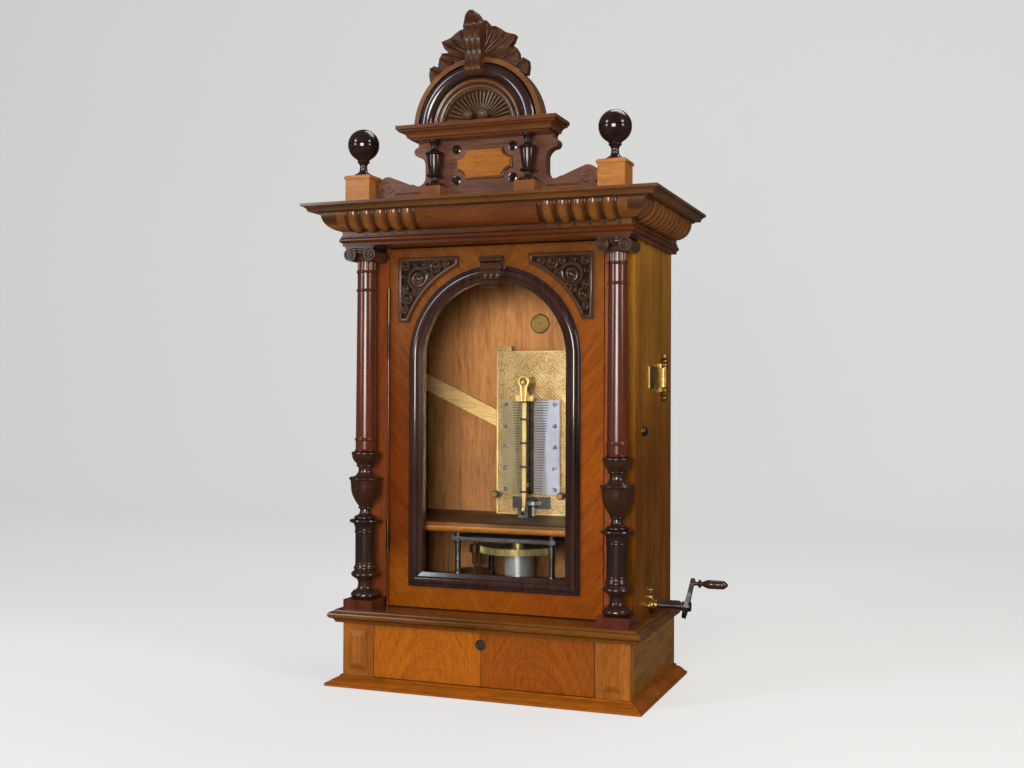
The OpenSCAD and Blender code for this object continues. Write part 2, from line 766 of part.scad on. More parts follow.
// Turned column from the block up: bell, drum, vase, cup, then the plain shaft
function column_outline() = concat(
    [[0, 0], [20, 0]],
    bead(0, 13, 19, 4.6),
    swell(13, 20, 17, 12, -1), [[11.8, 27]], swell(27, 34, 12, 16, -1),
    bead(34, 47, 17.5, 5.8),
    bead(48, 53, 18, 1.2), swell(53, 59, 18, 16.8, -0.6), [[16.5, 60], [16.5, 109]],
    bead(109, 113, 17, 1), swell(114, 126, 17.2, 21, -1.5),
    [[25.4, 127], [26, 129], [25.4, 131]],
    bead(132, 137, 17.2, 1.4), swell(138, 145, 14, 9.2, -1.4), [[8.8, 148]],
    bead(149, 153, 10, 2), swell(153, 190, 10.8, 24.4, 4), [[25, 196]],
    bead(197, 202, vase_r - 2, 2),
    swell(202, 210, 20, 12.6, -1), swell(210, 219, 12.4, 12.6, -0.6),
    bead(219, 223, 14, 1.6), swell(224, 239, 15, 22.8, 2), bead(239, 244, 22.4, 1.2),
    bead(245, 248, 17.4, 1), [[16.8, 249], [16.8, 262]],
    bead(262, 267, 16.8, 1.8), [[16.6, 268]],
    [[shaft_r, column_h - neck_h - 36]],
    bead(column_h - neck_h - 36, column_h - neck_h - 31, shaft_r, 2),
    [[shaft_r, column_h - neck_h - 30], [shaft_r, column_h - neck_h - 5]],
    bead(column_h - neck_h - 5, column_h - neck_h, shaft_r, 2),
    [[shaft_r, column_h - neck_h], [shaft_r, column_h], [0, column_h]]);

module columns() color(ebonised)
    pair() translate([column_x, column_y, 0]) {
        translate([-block_w / 2, -block_w / 2, floor_z]) cube([block_w, block_w / 2 + column_out, block_h]);
        translate([0, 0, block_top]) difference() {
            turned(column_outline());
            for (i = [0:flutes - 1]) rotate(360 * i / flutes)
                translate([shaft_r + 0.6, 0, column_h - neck_h + 1]) cylinder(r = 2, h = neck_h);
        }
    }

// Capital: turned bell and square abacus, with two scrolls that run from front to back
module capitals() color(ebonised)
    pair() translate([column_x, column_y, capital_z]) {
        abacus_h = 4;
        cushion_r = block_w / 2 - 3;
        turned(concat([[0, 0]], swell(0, 8, shaft_r, shaft_r + 5, 1),
            swell(9, 17, shaft_r + 4, cushion_r, 1.5),
            [[cushion_r, capital_h - abacus_h], [0, capital_h - abacus_h]]));
        translate([-block_w / 2, -block_w / 2, capital_h - abacus_h])
            cube([block_w, block_w / 2 + column_out - 0.3, abacus_h]);
        for (s = [-1, 1]) translate([s * volute_reach, -block_w / 2, volute_r + 0.1]) rotate([-90, 0, 0])
            difference() {
                cylinder(r = volute_r, h = block_w / 2 + column_out - 0.3);
                translate([0, 0, -1]) difference() {
                    cylinder(r = volute_r * 0.78, h = 2.5);
                    translate([0, 0, -1]) cylinder(r = volute_r * 0.42, h = 5);
                }
            }
    }

// Cornice

// Bed moulding board, which also closes the case from above
module bed_moulding() color(walnut) {
    bulge = 4.2;
    translate([0, 0, bed_z]) moulded_board(entab_w, entab_y, back_y, bed_h, 6) {
        translate([-1, 0]) square([2.5, bed_h]);
        translate([1.4, bed_h * 0.55]) circle(bulge);
        translate([-1, bed_h - 3]) square([4.4, 3]);
    }
}

// Frieze: an ovolo carved with gadroons each side of a plain tablet
module gadroon_frieze() color(walnut_dark) {
    core_r = gadroon_r - gadroon_rise;
    dart_r = 2;
    lobe_c = gadroon_r - gadroon_lobe_r;
    side_y0 = (entab_y + back_y) / 2 - gadroon_pitch * (gadroons_side - 1) / 2;
    translate([0, 0, frieze_z]) {
        moulded_board(entab_w, entab_y, back_y, frieze_h, gadroon_r) {
            translate([-1, 0]) square([2.5, frieze_h]);
            intersection() {
                translate([0, frieze_h]) circle(core_r);
                translate([-1, 0]) square([core_r + 1, frieze_h]);
            }
        }
        for (k = [0:gadroons_front - 1]) pair()
            translate([tablet_w / 2 + gadroon_pitch * (k + 0.5), entab_y, frieze_h])
                gadroon(lobe_c, gadroon_lobe_r);
        for (k = [0:gadroons_front]) pair()
            translate([tablet_w / 2 + gadroon_pitch * k, entab_y, frieze_h]) gadroon(core_r - 1, dart_r);
        for (k = [0:gadroons_side - 1]) pair()
            translate([entab_w / 2, side_y0 + gadroon_pitch * k, frieze_h])
                rotate(90) gadroon(lobe_c, gadroon_lobe_r);
        along_x(-tablet_w / 2 + 4, tablet_w / 2 - 4) intersection() {
            translate([entab_y, frieze_h]) circle(core_r + 2);
            translate([entab_y - core_r - 2, 0]) square([core_r + 4, frieze_h]);
        }
    }
}
// One gadroon: a quarter of a ring, from under the crown round to the neck
module gadroon(ring_r, tube_r) {
    rotate([0, 90, 0]) rotate(-90) rotate_extrude(angle = 90) translate([ring_r, 0]) circle(tube_r);
}

fillet_h = 4.5;
cove_r = 8;
module crown_moulding() color(walnut)
    translate([0, 0, crown_z]) moulded_board(entab_w, entab_y, back_y, crown_h, crown_lip)
    {
        translate([-2, crown_h - fillet_h]) square([crown_lip + 2, fillet_h]);
        translate([-2, 0]) square([gadroon_r + 3, crown_h - 1]);
        difference() {
            translate([-2, 2]) square([crown_lip - 1, crown_h - 3]);
            translate([crown_lip - 1, 1.5]) circle(cove_r);
        }
    }

// Gallery

pedestal_y = entab_y + pedestal_in;
module pedestals() color(walnut)
    pair() translate([column_x - 1, pedestal_y, top_z]) {
        body_h = pedestal_h - pedestal_cap_h;
        translate([-pedestal_w / 2, -pedestal_w / 2, 0]) cube([pedestal_w, pedestal_w, body_h]);
        translate([-pedestal_w / 2 - 2, -pedestal_w / 2 - 2, body_h])
            cube([pedestal_w + 4, pedestal_w + 4, pedestal_cap_h - 2]);
        translate([-pedestal_w / 2, -pedestal_w / 2, pedestal_h - 2]) cube([pedestal_w, pedestal_w, 2]);
    }

module finials() color(ebonised)
    pair() translate([column_x - 1, pedestal_y, top_z + pedestal_h])
        turned(concat([[0, 0], [16, 0], [16.5, 2]], swell(3, 13, 15, 6.5, -3),
            swell(13, finial_neck_h - 8, 6.5, 8.5, -1.5), bead(finial_neck_h - 8, finial_neck_h - 4, 9, 1.5),
            ball_arc(ball_r, finial_neck_h + ball_r - 4, -60, -3),
            [[ball_r - 1.4, finial_neck_h + ball_r - 4]],
            ball_arc(ball_r, finial_neck_h + ball_r - 4, 3, 90)));

gallery_y = entab_y + gallery_in;
gallery_top = top_z + gallery_h;
pedestal_in_x = column_x - 1 - pedestal_w / 2;
scroll_x = pedestal_in_x - scroll_r - 6;
scroll_z = 30;
waist_half = gallery_half - hollow_in;
wing_h = 28;
ear_r = 7.5;
ear_z = gallery_h - 14;

// Fretted board: eared middle, hollow sides and low wings that end in scrolls
module gallery_board() color(walnut)
    along_y(gallery_y, gallery_y + gallery_t) translate([0, top_z]) {
        translate([-waist_half, 0]) square([2 * waist_half, gallery_h]);
        for (s = [0, 1]) mirror([s, 0]) {
            square([pedestal_in_x, wing_h - 10]);
            translate([scroll_x, scroll_z]) circle(scroll_r);
            difference() {
                polygon([[0, 10], [scroll_x + 8, 10], [scroll_x + 8, scroll_z],
                    [scroll_x, scroll_z + scroll_r - 0.5], [scroll_x - 11, scroll_z + scroll_r - 3],
                    [waist_half + 26, wing_h + 3], [waist_half, wing_h + 14], [0, wing_h + 14]]);
                translate([waist_half + 14, wing_h + 14]) circle(14);
            }
            difference() {
                translate([0, ear_z - 22]) square([gallery_half - ear_r, gallery_h - ear_z + 22]);
                translate([waist_half + 16, ear_z - 23]) circle(16);
            }
            translate([gallery_half - ear_r, ear_z]) circle(ear_r);
        }
    }

// Raised tablet whose corners are cut hollow round the buttons
plaque_mid = top_z + 58.5;
button_x = plaque_w / 2 + 3.5;
button_z = plaque_h / 2 + 3.5;
notch_r = 19.5;
module gallery_plaque() color(walnut)
    for (step = [[0, plaque_t], [1.8, plaque_t - 2]])
        along_y(gallery_y - step[1], gallery_y) difference() {
            translate([-plaque_w / 2 - step[0], plaque_mid - plaque_h / 2 - step[0]])
                square([plaque_w + 2 * step[0], plaque_h + 2 * step[0]]);
            for (x = [-1, 1]) for (z = [-1, 1])
                translate([x * button_x, plaque_mid + z * button_z]) circle(notch_r - step[0]);
        }

module plaque_buttons() color(ebonised)
    for (x = [-1, 1]) for (z = [-1, 1])
        translate([x * button_x, gallery_y, plaque_mid + z * button_z]) rotate([90, 0, 0])
            turned(concat([[0, 0], [button_r + 2, 0], [button_r + 2, 1.5], [button_r, 2]],
                swell(2, 6.5, button_r - 0.8, 0, 1.8)));

// Turned balusters on square blocks in front of the gallery board
baluster_y = gallery_y - baluster_block / 2;
module balusters() color(ebonised)
    pair() translate([baluster_x, baluster_y, top_z]) {
        h = gallery_h - baluster_block_h;
        lid_z = h - 25;
        translate([-baluster_block / 2, -baluster_block / 2, 0])
            cube([baluster_block, baluster_block, baluster_block_h]);
        translate([0, 0, baluster_block_h]) turned(concat(
            [[0, 0], [13.5, 0]], bead(0, 5.5, 13.5, 1.8), [[6.5, 7], [5, 11], [5, 15]],
            bead(16, 21, 10.8, 2), swell(21, lid_z, 8.4, 12.6, 0.6), bead(lid_z, lid_z + 5, 13.4, 2),
            swell(lid_z + 5, lid_z + 12, 11.5, 5.4, -2), [[5, h - 8]], bead(h - 8, h - 4, 6.5, 1.6),
            [[9, h - 3], [9, h], [0, h]]));
    }

cornice_y0 = gallery_y + gallery_t - shelf_d;
module gallery_cornice() color(walnut_dark)
    translate([0, 0, gallery_top])
        moulded_board(shelf_w - 2 * shelf_lip, cornice_y0 + shelf_lip, gallery_y + gallery_t,
            shelf_h, shelf_lip) {
            translate([-1, 0]) square([3, shelf_h]);
            translate([-1, shelf_h - 6]) square([shelf_lip + 1, 6]);
            translate([-1, shelf_h - 9]) square([shelf_lip - 2, 9]);
            difference() {
                translate([-1, 3]) square([shelf_lip - 4, shelf_h - 6]);
                translate([shelf_lip - 4, 2]) circle(shelf_h - 11);
            }
        }

pediment_z = gallery_top + shelf_h;
arch_sink = 7;
pediment_y0 = cornice_y0 + 7;
// Moulded arch standing on the small cornice: fillet, big round and inner beads
module pediment_arch() color(ebonised) {
    r = pediment_r;
    band = r - shell_r;
    d = pediment_d;
    translate([0, pediment_y0, pediment_z]) difference() {
        translate([0, d, -arch_sink]) rotate([90, 0, 0]) rotate_extrude() {
            translate([shell_r, 0]) square([band, d - 8]);
            translate([r - 8, 0]) square([8, d - 4]);
            translate([r - band * 0.4, d - 11]) circle(band * 0.235);
            translate([shell_r + band * 0.27, d - 8]) circle(4);
            translate([shell_r + band * 0.1, d - 8]) circle(3);
        }
        translate([-2 * r, -50, -3 * r]) cube([4 * r, d + 100, 3 * r]);
    }
}

// Half-round shell with radiating ribs and two turned bosses at its root
module shell() color(ebonised) {
    d = pediment_d;
    hub_z = pediment_z + 10;
    fit_r = shell_r - 0.2;
    rib_in = 13;
    rib_taper = 1.45 / shell_ribs;
    translate([0, pediment_y0 + d, pediment_z]) {
        difference() {
            union() {
                translate([0, 0, -arch_sink]) rotate([90, 0, 0]) cylinder(r = fit_r, h = 12);
                intersection() {
                    union() for (i = [0:shell_ribs - 1])
                        translate([0, -12, 4]) rotate([0, -90 + 180 * (i + 0.5) / shell_ribs, 0])
                            translate([0, 0, rib_in])
                                cylinder(r1 = rib_taper * rib_in, r2 = rib_taper * (fit_r + 4),
                                    h = fit_r + 4 - rib_in);
                    translate([0, 0, -arch_sink]) rotate([90, 0, 0]) cylinder(r = fit_r, h = 40);
                }
            }
            translate([-200, -100, -200]) cube([400, 200, 200]);
        }
    }
    pair() translate([12.4, pediment_y0 + d - 11, hub_z]) rotate([90, 0, 0])
        turned(concat([[0, 0], [5, 0], [4, 6], [3.5, 12]], bead(12, 15, 4.5, 1.5),
            ball_arc(9, 23, -60, 90)));
}

// Crest: a lobed leaf that spreads to each side of the console
crest_y = pediment_y0 + 10;
module leaf_crest() color(ebonised) {
    // One wing from its top round to the arch, in shares of the crest's height
    wing = [[0.19, 0.84], [0.3, 0.7], [0.44, 0.68], [0.57, 0.6], [0.68, 0.52], [0.9, 0.45],
        [0.84, 0.3], [0.74, 0.2], [0.69, 0.07], [0.78, 0.16], [0.89, 0.18], [0.96, 0.06], [0.99, -0.12],
        [1.09, -0.08], [1.19, -0.14], [1.21, -0.28], [1.18, -0.46]];
    other_wing = [for (i = [len(wing) - 1:-1:0]) [-wing[i][0], wing[i][1]]];
    along_y(crest_y, crest_y + crest_t) translate([0, pediment_z - arch_sink]) difference() {
        translate([0, pediment_r]) polygon(crest_h * concat(wing, other_wing));
        circle(pediment_r + 0.3);
    }
}

// Console at the crown of the arch, a leaf that curls forward over the crest
module pediment_console() color(ebonised) {
    zc = pediment_z - arch_sink + pediment_r;
    y0 = pediment_y0 - 1.2;
    y1 = crest_y - 0.3;
    tip = crest_h - 9;
    intersection() {
        along_x(-console_w, console_w) {
            translate([y0 - 8, zc - 22]) circle(8);
            translate([y0 - 9, zc + 26]) circle(10);
            translate([y0 - 13, zc + tip]) circle(9);
            polygon([[y0 - 13, zc - 20], [y0, zc - 26], [y0, zc + 1], [y1, zc + 1], [y1, zc + tip + 8],
                [y0 - 12, zc + tip + 8.5], [y0 - 10, zc + tip - 14], [y0 - 18, zc + 26], [y0 - 11, zc + 6]]);
        }
        along_y(y0 - 50, y1) polygon([[-console_w * 0.44, zc - 50], [console_w * 0.44, zc - 50],
            [console_w * 0.5, zc + 20], [console_w * 0.6, zc + tip - 9], [console_w * 0.12, zc + tip + 12],
            [-console_w * 0.12, zc + tip + 12], [-console_w * 0.6, zc + tip - 9],
            [-console_w * 0.5, zc + 20]]);
    }
}

// Movement

bed_z0 = shelf_top;
comb_z0 = bed_z0 + comb_rise;
spindle_z = comb_z0 + comb_l + spindle_rise;
lug_w = 24;
lug_h = 8;
seat_in = 26;
module bedplate() color(gilt) {
    along_y(bed_front, bed_front + bed_t) {
        translate([-bed_w / 2, bed_z0]) square([bed_w, bed_plate_h]);
        translate([-bed_w / 2 + 4, bed_z0 + bed_plate_h - 1]) square([lug_w, lug_h + 1]);
    }
    pair() translate([seat_in, bed_front - seat_h, comb_z0])
        cube([comb_outer + 1 - seat_in, seat_h + 1, comb_l]);
}

module bed_posts() color(iron)
    for (x = [-1, 1]) for (z = [30, bed_plate_h - 30])
        translate([x * (bed_w / 2 - 16), bed_front + bed_t, bed_z0 + z]) rotate([-90, 0, 0])
            cylinder(r = 6, h = bed_post_l);

// Comb cut into teeth whose free length grows towards the foot
tip_x = star_r + tip_gap;
tooth_pitch = comb_l / comb_teeth;
saw = tooth_pitch * 0.32;
function tooth_root(i) = tip_x + 15 + 11 * (1 - i / comb_teeth);
module combs() color(steel)
    along_y(comb_y, comb_y + comb_t) for (s = [0, 1]) mirror([s, 0]) translate([0, comb_z0])
        polygon(concat([[comb_outer, 0], [comb_outer, comb_l]],
            [for (i = [comb_teeth - 1:-1:0]) let (z = i * tooth_pitch, x = tooth_root(i)) each
                [[tip_x, z + tooth_pitch - saw / 2], [tip_x, z + saw / 2],
                [x, z + saw / 2], [x, z - saw / 2]]]));

screw_r = 4;
screw_h = 2.6;
module comb_screws() color(iron)
    pair() for (k = [0:4])
        translate([comb_outer - 8, comb_y, comb_z0 + comb_l * (0.05 + 0.225 * k)]) rotate([90, 0, 0])
            difference() {
                cylinder(r = screw_r, h = screw_h);
                translate([-screw_r, -0.5, screw_h - 1]) cube([2 * screw_r, 1, 2]);
            }

// Star wheels, one to each tooth, on a common arbor between the combs
module star_wheels() color(iron)
    translate([0, star_y, comb_z0]) {
        translate([0, 0, -6]) cylinder(r = star_arbor_r, h = comb_l + 12);
        for (i = [0:comb_teeth - 1]) translate([0, 0, (i + 0.25) * tooth_pitch])
            linear_extrude(tooth_pitch * 0.5) polygon([for (k = [0:2 * star_points - 1])
                let (a = 180 * k / star_points, r = k % 2 == 0 ? star_r : star_r * 0.5)
                    [r * sin(a), r * cos(a)]]);
    }

bearing_t = 5;
module star_bearings() color(brass)
    for (z = [comb_z0 - side_gap - bearing_t, comb_z0 + comb_l + side_gap])
        difference() {
            translate([-5, star_y - 4, z]) cube([10, bed_front - star_y + 4, bearing_t]);
            translate([0, star_y, z - 1]) cylinder(r = star_arbor_r + run, h = bearing_t + 2);
        }

rod_y = disc_y - bar_roller_r - 1;
bar_y = rod_y - bar_roller_r - 2 * side_gap - bar_t;
spindle_tip = bar_y - 6;
module disc_spindle() color(steel)
    translate([0, bed_front, spindle_z]) rotate([90, 0, 0])
        turned([[0, 0], [9, 0], [9, 5], [6, 8], [spindle_r, 12], [spindle_r, bed_front - spindle_tip - 1.5],
            [spindle_r - 1.5, bed_front - spindle_tip], [0, bed_front - spindle_tip]]);

// Pressure bar, hinged at its foot, whose ring slips over the disc spindle
bar_pin_z = bed_z0 + 13;
bar_pin_r = 2;
rod_r = 1.5;
bar_eye_r = 6;
bar_mid_y = bar_y + bar_t / 2;
roller_zs = [for (k = [0:3]) comb_z0 + comb_l * (0.21 + 0.26 * k)];
roller_t = 3;
rod_z0 = comb_z0 + 14;
rod_z1 = roller_zs[3] + 16;
ear_t = 6;
module pressure_bar() color(gilt) {
    difference() {
        union() {
            translate([-bar_w / 2, bar_y, bar_pin_z]) cube([bar_w, bar_t, spindle_z - bar_pin_z]);
            translate([-bar_w / 2, bar_mid_y, bar_pin_z]) rotate([0, 90, 0])
                cylinder(r = bar_eye_r, h = bar_w);
            translate([0, bar_y, spindle_z]) rotate([-90, 0, 0]) cylinder(r = 10, h = bar_t);
            for (z = [rod_z0, rod_z1 - ear_t])
                translate([-bar_w / 2, bar_mid_y, z]) cube([bar_w, rod_y - bar_mid_y + 3, ear_t]);
            translate([-16, bar_y + 1, spindle_z - 34]) cube([32, bar_t - 2, 10]);
        }
        translate([0, bar_y - 1, spindle_z]) rotate([-90, 0, 0])
            cylinder(r = spindle_r + 2.2, h = bar_t + 2);
        translate([-bar_w, bar_mid_y, bar_pin_z]) rotate([0, 90, 0])
            cylinder(r = bar_pin_r + run, h = 2 * bar_w);
        translate([0, rod_y, rod_z0 - 1]) cylinder(r = rod_r + run, h = rod_z1 - rod_z0 + 2);
    }
}

module bar_rollers() color(iron)
    translate([0, rod_y, 0]) {
        translate([0, 0, rod_z0]) cylinder(r = rod_r, h = rod_z1 - rod_z0);
        for (z = roller_zs) translate([0, 0, z - roller_t / 2]) cylinder(r = bar_roller_r, h = roller_t);
    }

// Block on the shelf whose two cheeks hold the pressure bar's pin
cheek_t = 6;
module bar_hinge_block() color(iron) {
    w = bar_w + 2 * side_gap;
    difference() {
        translate([-w / 2 - cheek_t, bar_mid_y - 8, bed_z0])
            cube([w + 2 * cheek_t, 16, bar_pin_z - bed_z0 + 7]);
        translate([-w / 2, bar_mid_y - 9, bed_z0 + 4]) cube([w, 18, 40]);
    }
    translate([-w / 2 - cheek_t, bar_mid_y, bar_pin_z]) rotate([0, 90, 0])
        cylinder(r = bar_pin_r, h = w + 2 * cheek_t);
}

// Grooved rollers that keep the disc's rim in place, on studs from the bedplate
guide_z = bed_z0 + 37;
guide_t = 10;
stud_r = 2.5;
module guide_roller() {
    translate([0, disc_y + guide_t / 2, guide_z]) rotate([90, 0, 0]) difference() {
        turned([[0, 0], [guide_r, 0], [guide_r, 3], [guide_r - 1.5, 4.2], [guide_r - 1.5, guide_t - 4.2],
            [guide_r, guide_t - 3], [guide_r, guide_t], [0, guide_t]]);
        translate([0, 0, -1]) cylinder(r = stud_r + run, h = guide_t + 2);
    }
}
module guide_roller_left() color(iron) translate([-guide_x, 0, 0]) guide_roller();
module guide_roller_right() color(iron) translate([guide_x, 0, 0]) guide_roller();
module guide_studs() color(brass)
    pair() translate([guide_x, bed_front, guide_z]) rotate([90, 0, 0]) {
        reach = bed_front - disc_y + guide_t / 2;
        cylinder(r = stud_r, h = reach + side_gap);
        cylinder(r = 5, h = reach - guide_t - side_gap);
        translate([0, 0, reach + side_gap]) cylinder(r = 4.2, h = 2.5);
    }

// Drive to the disc: a pinned sprocket on an upright shaft, held by a bracket
drive_r = 3;
sprocket_z = bed_z0 + 19;
sprocket_t = 6;
sprocket_r = shaft_y - disc_y + 1;
arm_t = 3;
great_z = shelf_top - shelf_t - hanger_l - plate_t - 24;
module drive_bracket() color(iron) {
    z0 = sprocket_z - side_gap - arm_t;
    gap = sprocket_t + 2 * side_gap;
    difference() {
        union() {
            translate([-35, bed_front - 3, z0 - 4]) cube([70, 3, gap + 2 * arm_t + 8]);
            for (z = [z0, z0 + arm_t + gap])
                translate([motor_x - 6, shaft_y - 6, z]) cube([12, bed_front - shaft_y + 6 - 3 + eps, arm_t]);
        }
        translate([motor_x, shaft_y, z0 - 5]) cylinder(r = drive_r + run, h = 40);
        translate([motor_x - sprocket_r - 2, bed_front - 4, z0 + arm_t]) cube([2 * sprocket_r + 4, 8, gap]);
    }
}

module drive_shaft() color(steel)
    translate([motor_x, shaft_y, 0]) {
        z0 = plate_z0 + plate_t / 2;
        translate([0, 0, z0]) cylinder(r = drive_r, h = sprocket_z + sprocket_t + side_gap + arm_t - z0);
        translate([0, 0, great_z - 0.5]) rotate(180 / pinion_teeth + 90) linear_extrude(great_t + 1)
            gear_2d(great_m, pinion_teeth);
        translate([0, 0, sprocket_z]) linear_extrude(sprocket_t) {
            circle(sprocket_r - 3.5);
            for (k = [0:9]) rotate(36 * k + 18)
                polygon([[4, -1.6], [sprocket_r, -0.8], [sprocket_r, 0.8], [4, 1.6]]);
        }
    }

// Motor

plate_z1 = shelf_top - shelf_t - hanger_l;
plate_z0 = plate_z1 - 2 * plate_t - plate_gap;
plate_half = 92;
plate_y0 = motor_y - 76;
plate_y1 = shaft_y + 20;
second_a = 205;
second_x = motor_x + great_c * cos(second_a);
second_y = motor_y + great_c * sin(second_a);
fan_a = 100;
fan_c = fan_m * (second_teeth + fan_teeth) / 2;
fan_x = second_x + fan_c * cos(fan_a);
fan_y = second_y + fan_c * sin(fan_a);
second_drop = 34;
second_z = great_z - second_drop;
pivot_r = 2.2;

module motor_plates() color(iron)
    for (z = [plate_z0, plate_z1 - plate_t]) difference() {
        translate([motor_x - plate_half, plate_y0, z]) cube([2 * plate_half, plate_y1 - plate_y0, plate_t]);
        translate([motor_x, motor_y, z - 1]) cylinder(r = arbor_r + run, h = plate_t + 2);
        translate([motor_x, shaft_y, z - 1]) cylinder(r = drive_r + run, h = plate_t + 2);
        translate([second_x, second_y, z - 1]) cylinder(r = pivot_r + run, h = plate_t + 2);
        translate([fan_x, fan_y, z - 1]) cylinder(r = pivot_r + run, h = plate_t + 2);
    }

module motor_pillars() color(steel) {
    for (x = [-1, 1]) for (y = [plate_y0 + 9, plate_y1 - 9])
        translate([motor_x + x * (plate_half - 9), y, 0]) {
            translate([0, 0, plate_z0 + plate_t]) turned(concat([[0, 0], [pillar_r + 2, 0],
                [pillar_r + 2, 3]],
                [[pillar_r, 5], [pillar_r, plate_gap - 5], [pillar_r + 2, plate_gap - 3],
                [pillar_r + 2, plate_gap], [0, plate_gap]]));
            translate([0, 0, plate_z1]) cylinder(r = pillar_r, h = hanger_l);
            translate([0, 0, floor_z]) cylinder(r = pillar_r + 2, h = plate_z0 - floor_z);
        }
    translate([motor_x + crown_r + 30, motor_y, 0]) difference() {
        translate([0, -9, floor_z]) cube([10, 18, crank_z + 8]);
        translate([-1, 0, shaft_z]) rotate([0, 90, 0]) cylinder(r = crank_r + run, h = 12);
    }
}

// Great wheel with the spring barrel under it
module great_wheel() color(brass)
    translate([motor_x, motor_y, 0]) {
        rim = great_m * great_teeth / 2 - 8;
        barrel_z = plate_z0 + plate_t + 1;
        difference() {
            union() {
                translate([0, 0, great_z]) rotate(90) linear_extrude(great_t) gear_2d(great_m, great_teeth);
                translate([0, 0, barrel_z]) cylinder(r = barrel_r, h = great_z - barrel_z + 1);
                translate([0, 0, great_z + great_t - 1]) cylinder(r = arbor_r + 6, h = 5);
            }
            translate([0, 0, great_z + great_t - 3]) difference() {
                cylinder(r = rim, h = 10);
                translate([0, 0, -1]) cylinder(r = arbor_r + 6, h = 12);
            }
            translate([0, 0, barrel_z - 1]) cylinder(r = arbor_r + run, h = 200);
        }
    }

module second_wheel() color(brass)
    translate([second_x, second_y, 0]) {
        z0 = plate_z0 + 1;
        translate([0, 0, z0]) cylinder(r = pivot_r, h = plate_z1 - 1 - z0);
        translate([0, 0, great_z - 0.5]) rotate(second_a + 180 + 180 / pinion_teeth + great_turn())
            linear_extrude(great_t + 1) gear_2d(great_m, pinion_teeth);
        translate([0, 0, second_z]) rotate(fan_a) linear_extrude(4) gear_2d(fan_m, second_teeth);
    }
// Turn that brings the second pinion's gap onto the nearest great wheel tooth
function great_turn() = let (step = 360 / great_teeth, off = (second_a - 90) % step)
    off * great_teeth / pinion_teeth;

module governor_fan() color(brass)
    translate([fan_x, fan_y, 0]) {
        z0 = plate_z0 + 1;
        translate([0, 0, z0]) cylinder(r = pivot_r, h = plate_z1 - 1 - z0);
        translate([0, 0, second_z - 0.5]) rotate(fan_a + 180 + 180 / fan_teeth) linear_extrude(5)
            gear_2d(fan_m, fan_teeth);
        translate([-fan_r, -0.75, second_z + 8]) cube([2 * fan_r, 1.5, 20]);
    }

// Barrel arbor with the crown wheel that the crank's pinion turns
wind_m = 1;
wind_r = wind_m * wind_teeth / 2;
crown_r = wind_m * crown_teeth / 2;
crown_face = 5;
mesh_z = shaft_z + wind_r;
module barrel_arbor() color(steel)
    translate([motor_x, motor_y, 0]) {
        crown_back = mesh_z + 1.3;
        translate([0, 0, crown_back]) cylinder(r = arbor_r, h = plate_z1 - 0.5 - crown_back);
        translate([0, 0, crown_back]) cylinder(r = crown_r + crown_face / 2, h = plate_z0 - 0.5 - crown_back);
        for (k = [0:crown_teeth - 1]) rotate(360 * (k + 0.5) / crown_teeth)
            translate([crown_r - crown_face / 2, 0, crown_back + eps]) rotate([90, 0, 90])
                linear_extrude(crown_face) polygon([[-0.62, 0], [-0.34, -2], [0.34, -2], [0.62, 0]]);
    }

// Crank: shaft with its winding pinion, leaf-shaped arm and the pin for the grip
hub_x = case_w / 2 + crank_out;
hub_l = 14;
arm_top = crank_throw + 6;
pin_x = hub_x + hub_l / 2 + crank_throw * tan(crank_lean);
grip_x = pin_x + 10;
grip_pin_r = 2;
module winding_crank() color(iron)
    translate([0, motor_y, shaft_z]) {
        x0 = motor_x + crown_r - crown_face / 2 - 6;
        translate([x0, 0, 0]) rotate([0, 90, 0]) cylinder(r = crank_r, h = hub_x - x0);
        translate([motor_x + crown_r - crown_face / 2, 0, 0]) rotate([0, 90, 0]) rotate(180)
            linear_extrude(crown_face) gear_2d(wind_m, wind_teeth);
        translate([hub_x, 0, 0]) rotate([0, 90, 0]) cylinder(r = 8, h = hub_l);
        translate([hub_x + hub_l / 2, 0, 0]) rotate([0, crank_lean, 0]) {
            rotate([90, 0, 90]) translate([0, 0, -3.5]) linear_extrude(7)
                polygon([[0, -20], [6, -11], [8.5, 0], [6.5, 12], [3.4, 24], [3, arm_top],
                    [-3, arm_top], [-3.4, 24], [-6.5, 12], [-8.5, 0], [-6, -11]]);
            translate([0, 0, arm_top]) sphere(r = 4.2);
        }
        translate([pin_x, 0, crank_throw]) rotate([0, 90, 0]) {
            cylinder(r = 3.2, h = grip_x - pin_x - side_gap);
            cylinder(r = grip_pin_r, h = grip_x - pin_x + grip_l - 6);
        }
    }

module crank_grip() color(walnut_dark)
    translate([grip_x, motor_y, shaft_z + crank_throw]) rotate([0, 90, 0]) difference() {
        turned(concat([[0, 0], [4, 0]], bead(0, 5, 4.4, 2.6), swell(5, 8, 4.2, 3.8, -0.3),
            swell(8, grip_l * 0.5, 3.8, grip_r, 1.5),
            swell(grip_l * 0.5, grip_l * 0.75, grip_r, grip_r - 0.2, 0.2),
            swell(grip_l * 0.75, grip_l, grip_r - 0.2, 1.5, 2.2), [[0, grip_l]]));
        translate([0, 0, -1]) cylinder(r = grip_pin_r + run, h = grip_l - 4.5);
    }

// Slanting board on the back panel that the coins run down
chute_w = 30;
module coin_chute() color(oak)
    along_y(in_back - chute_t, in_back) translate([-in_half, floor_z + chute_z])
        polygon([[0, 0], [in_half + 10, -0.465 * (in_half + 10)],
            [in_half + 10, chute_w - 0.465 * (in_half + 10)], [0, chute_w]]);

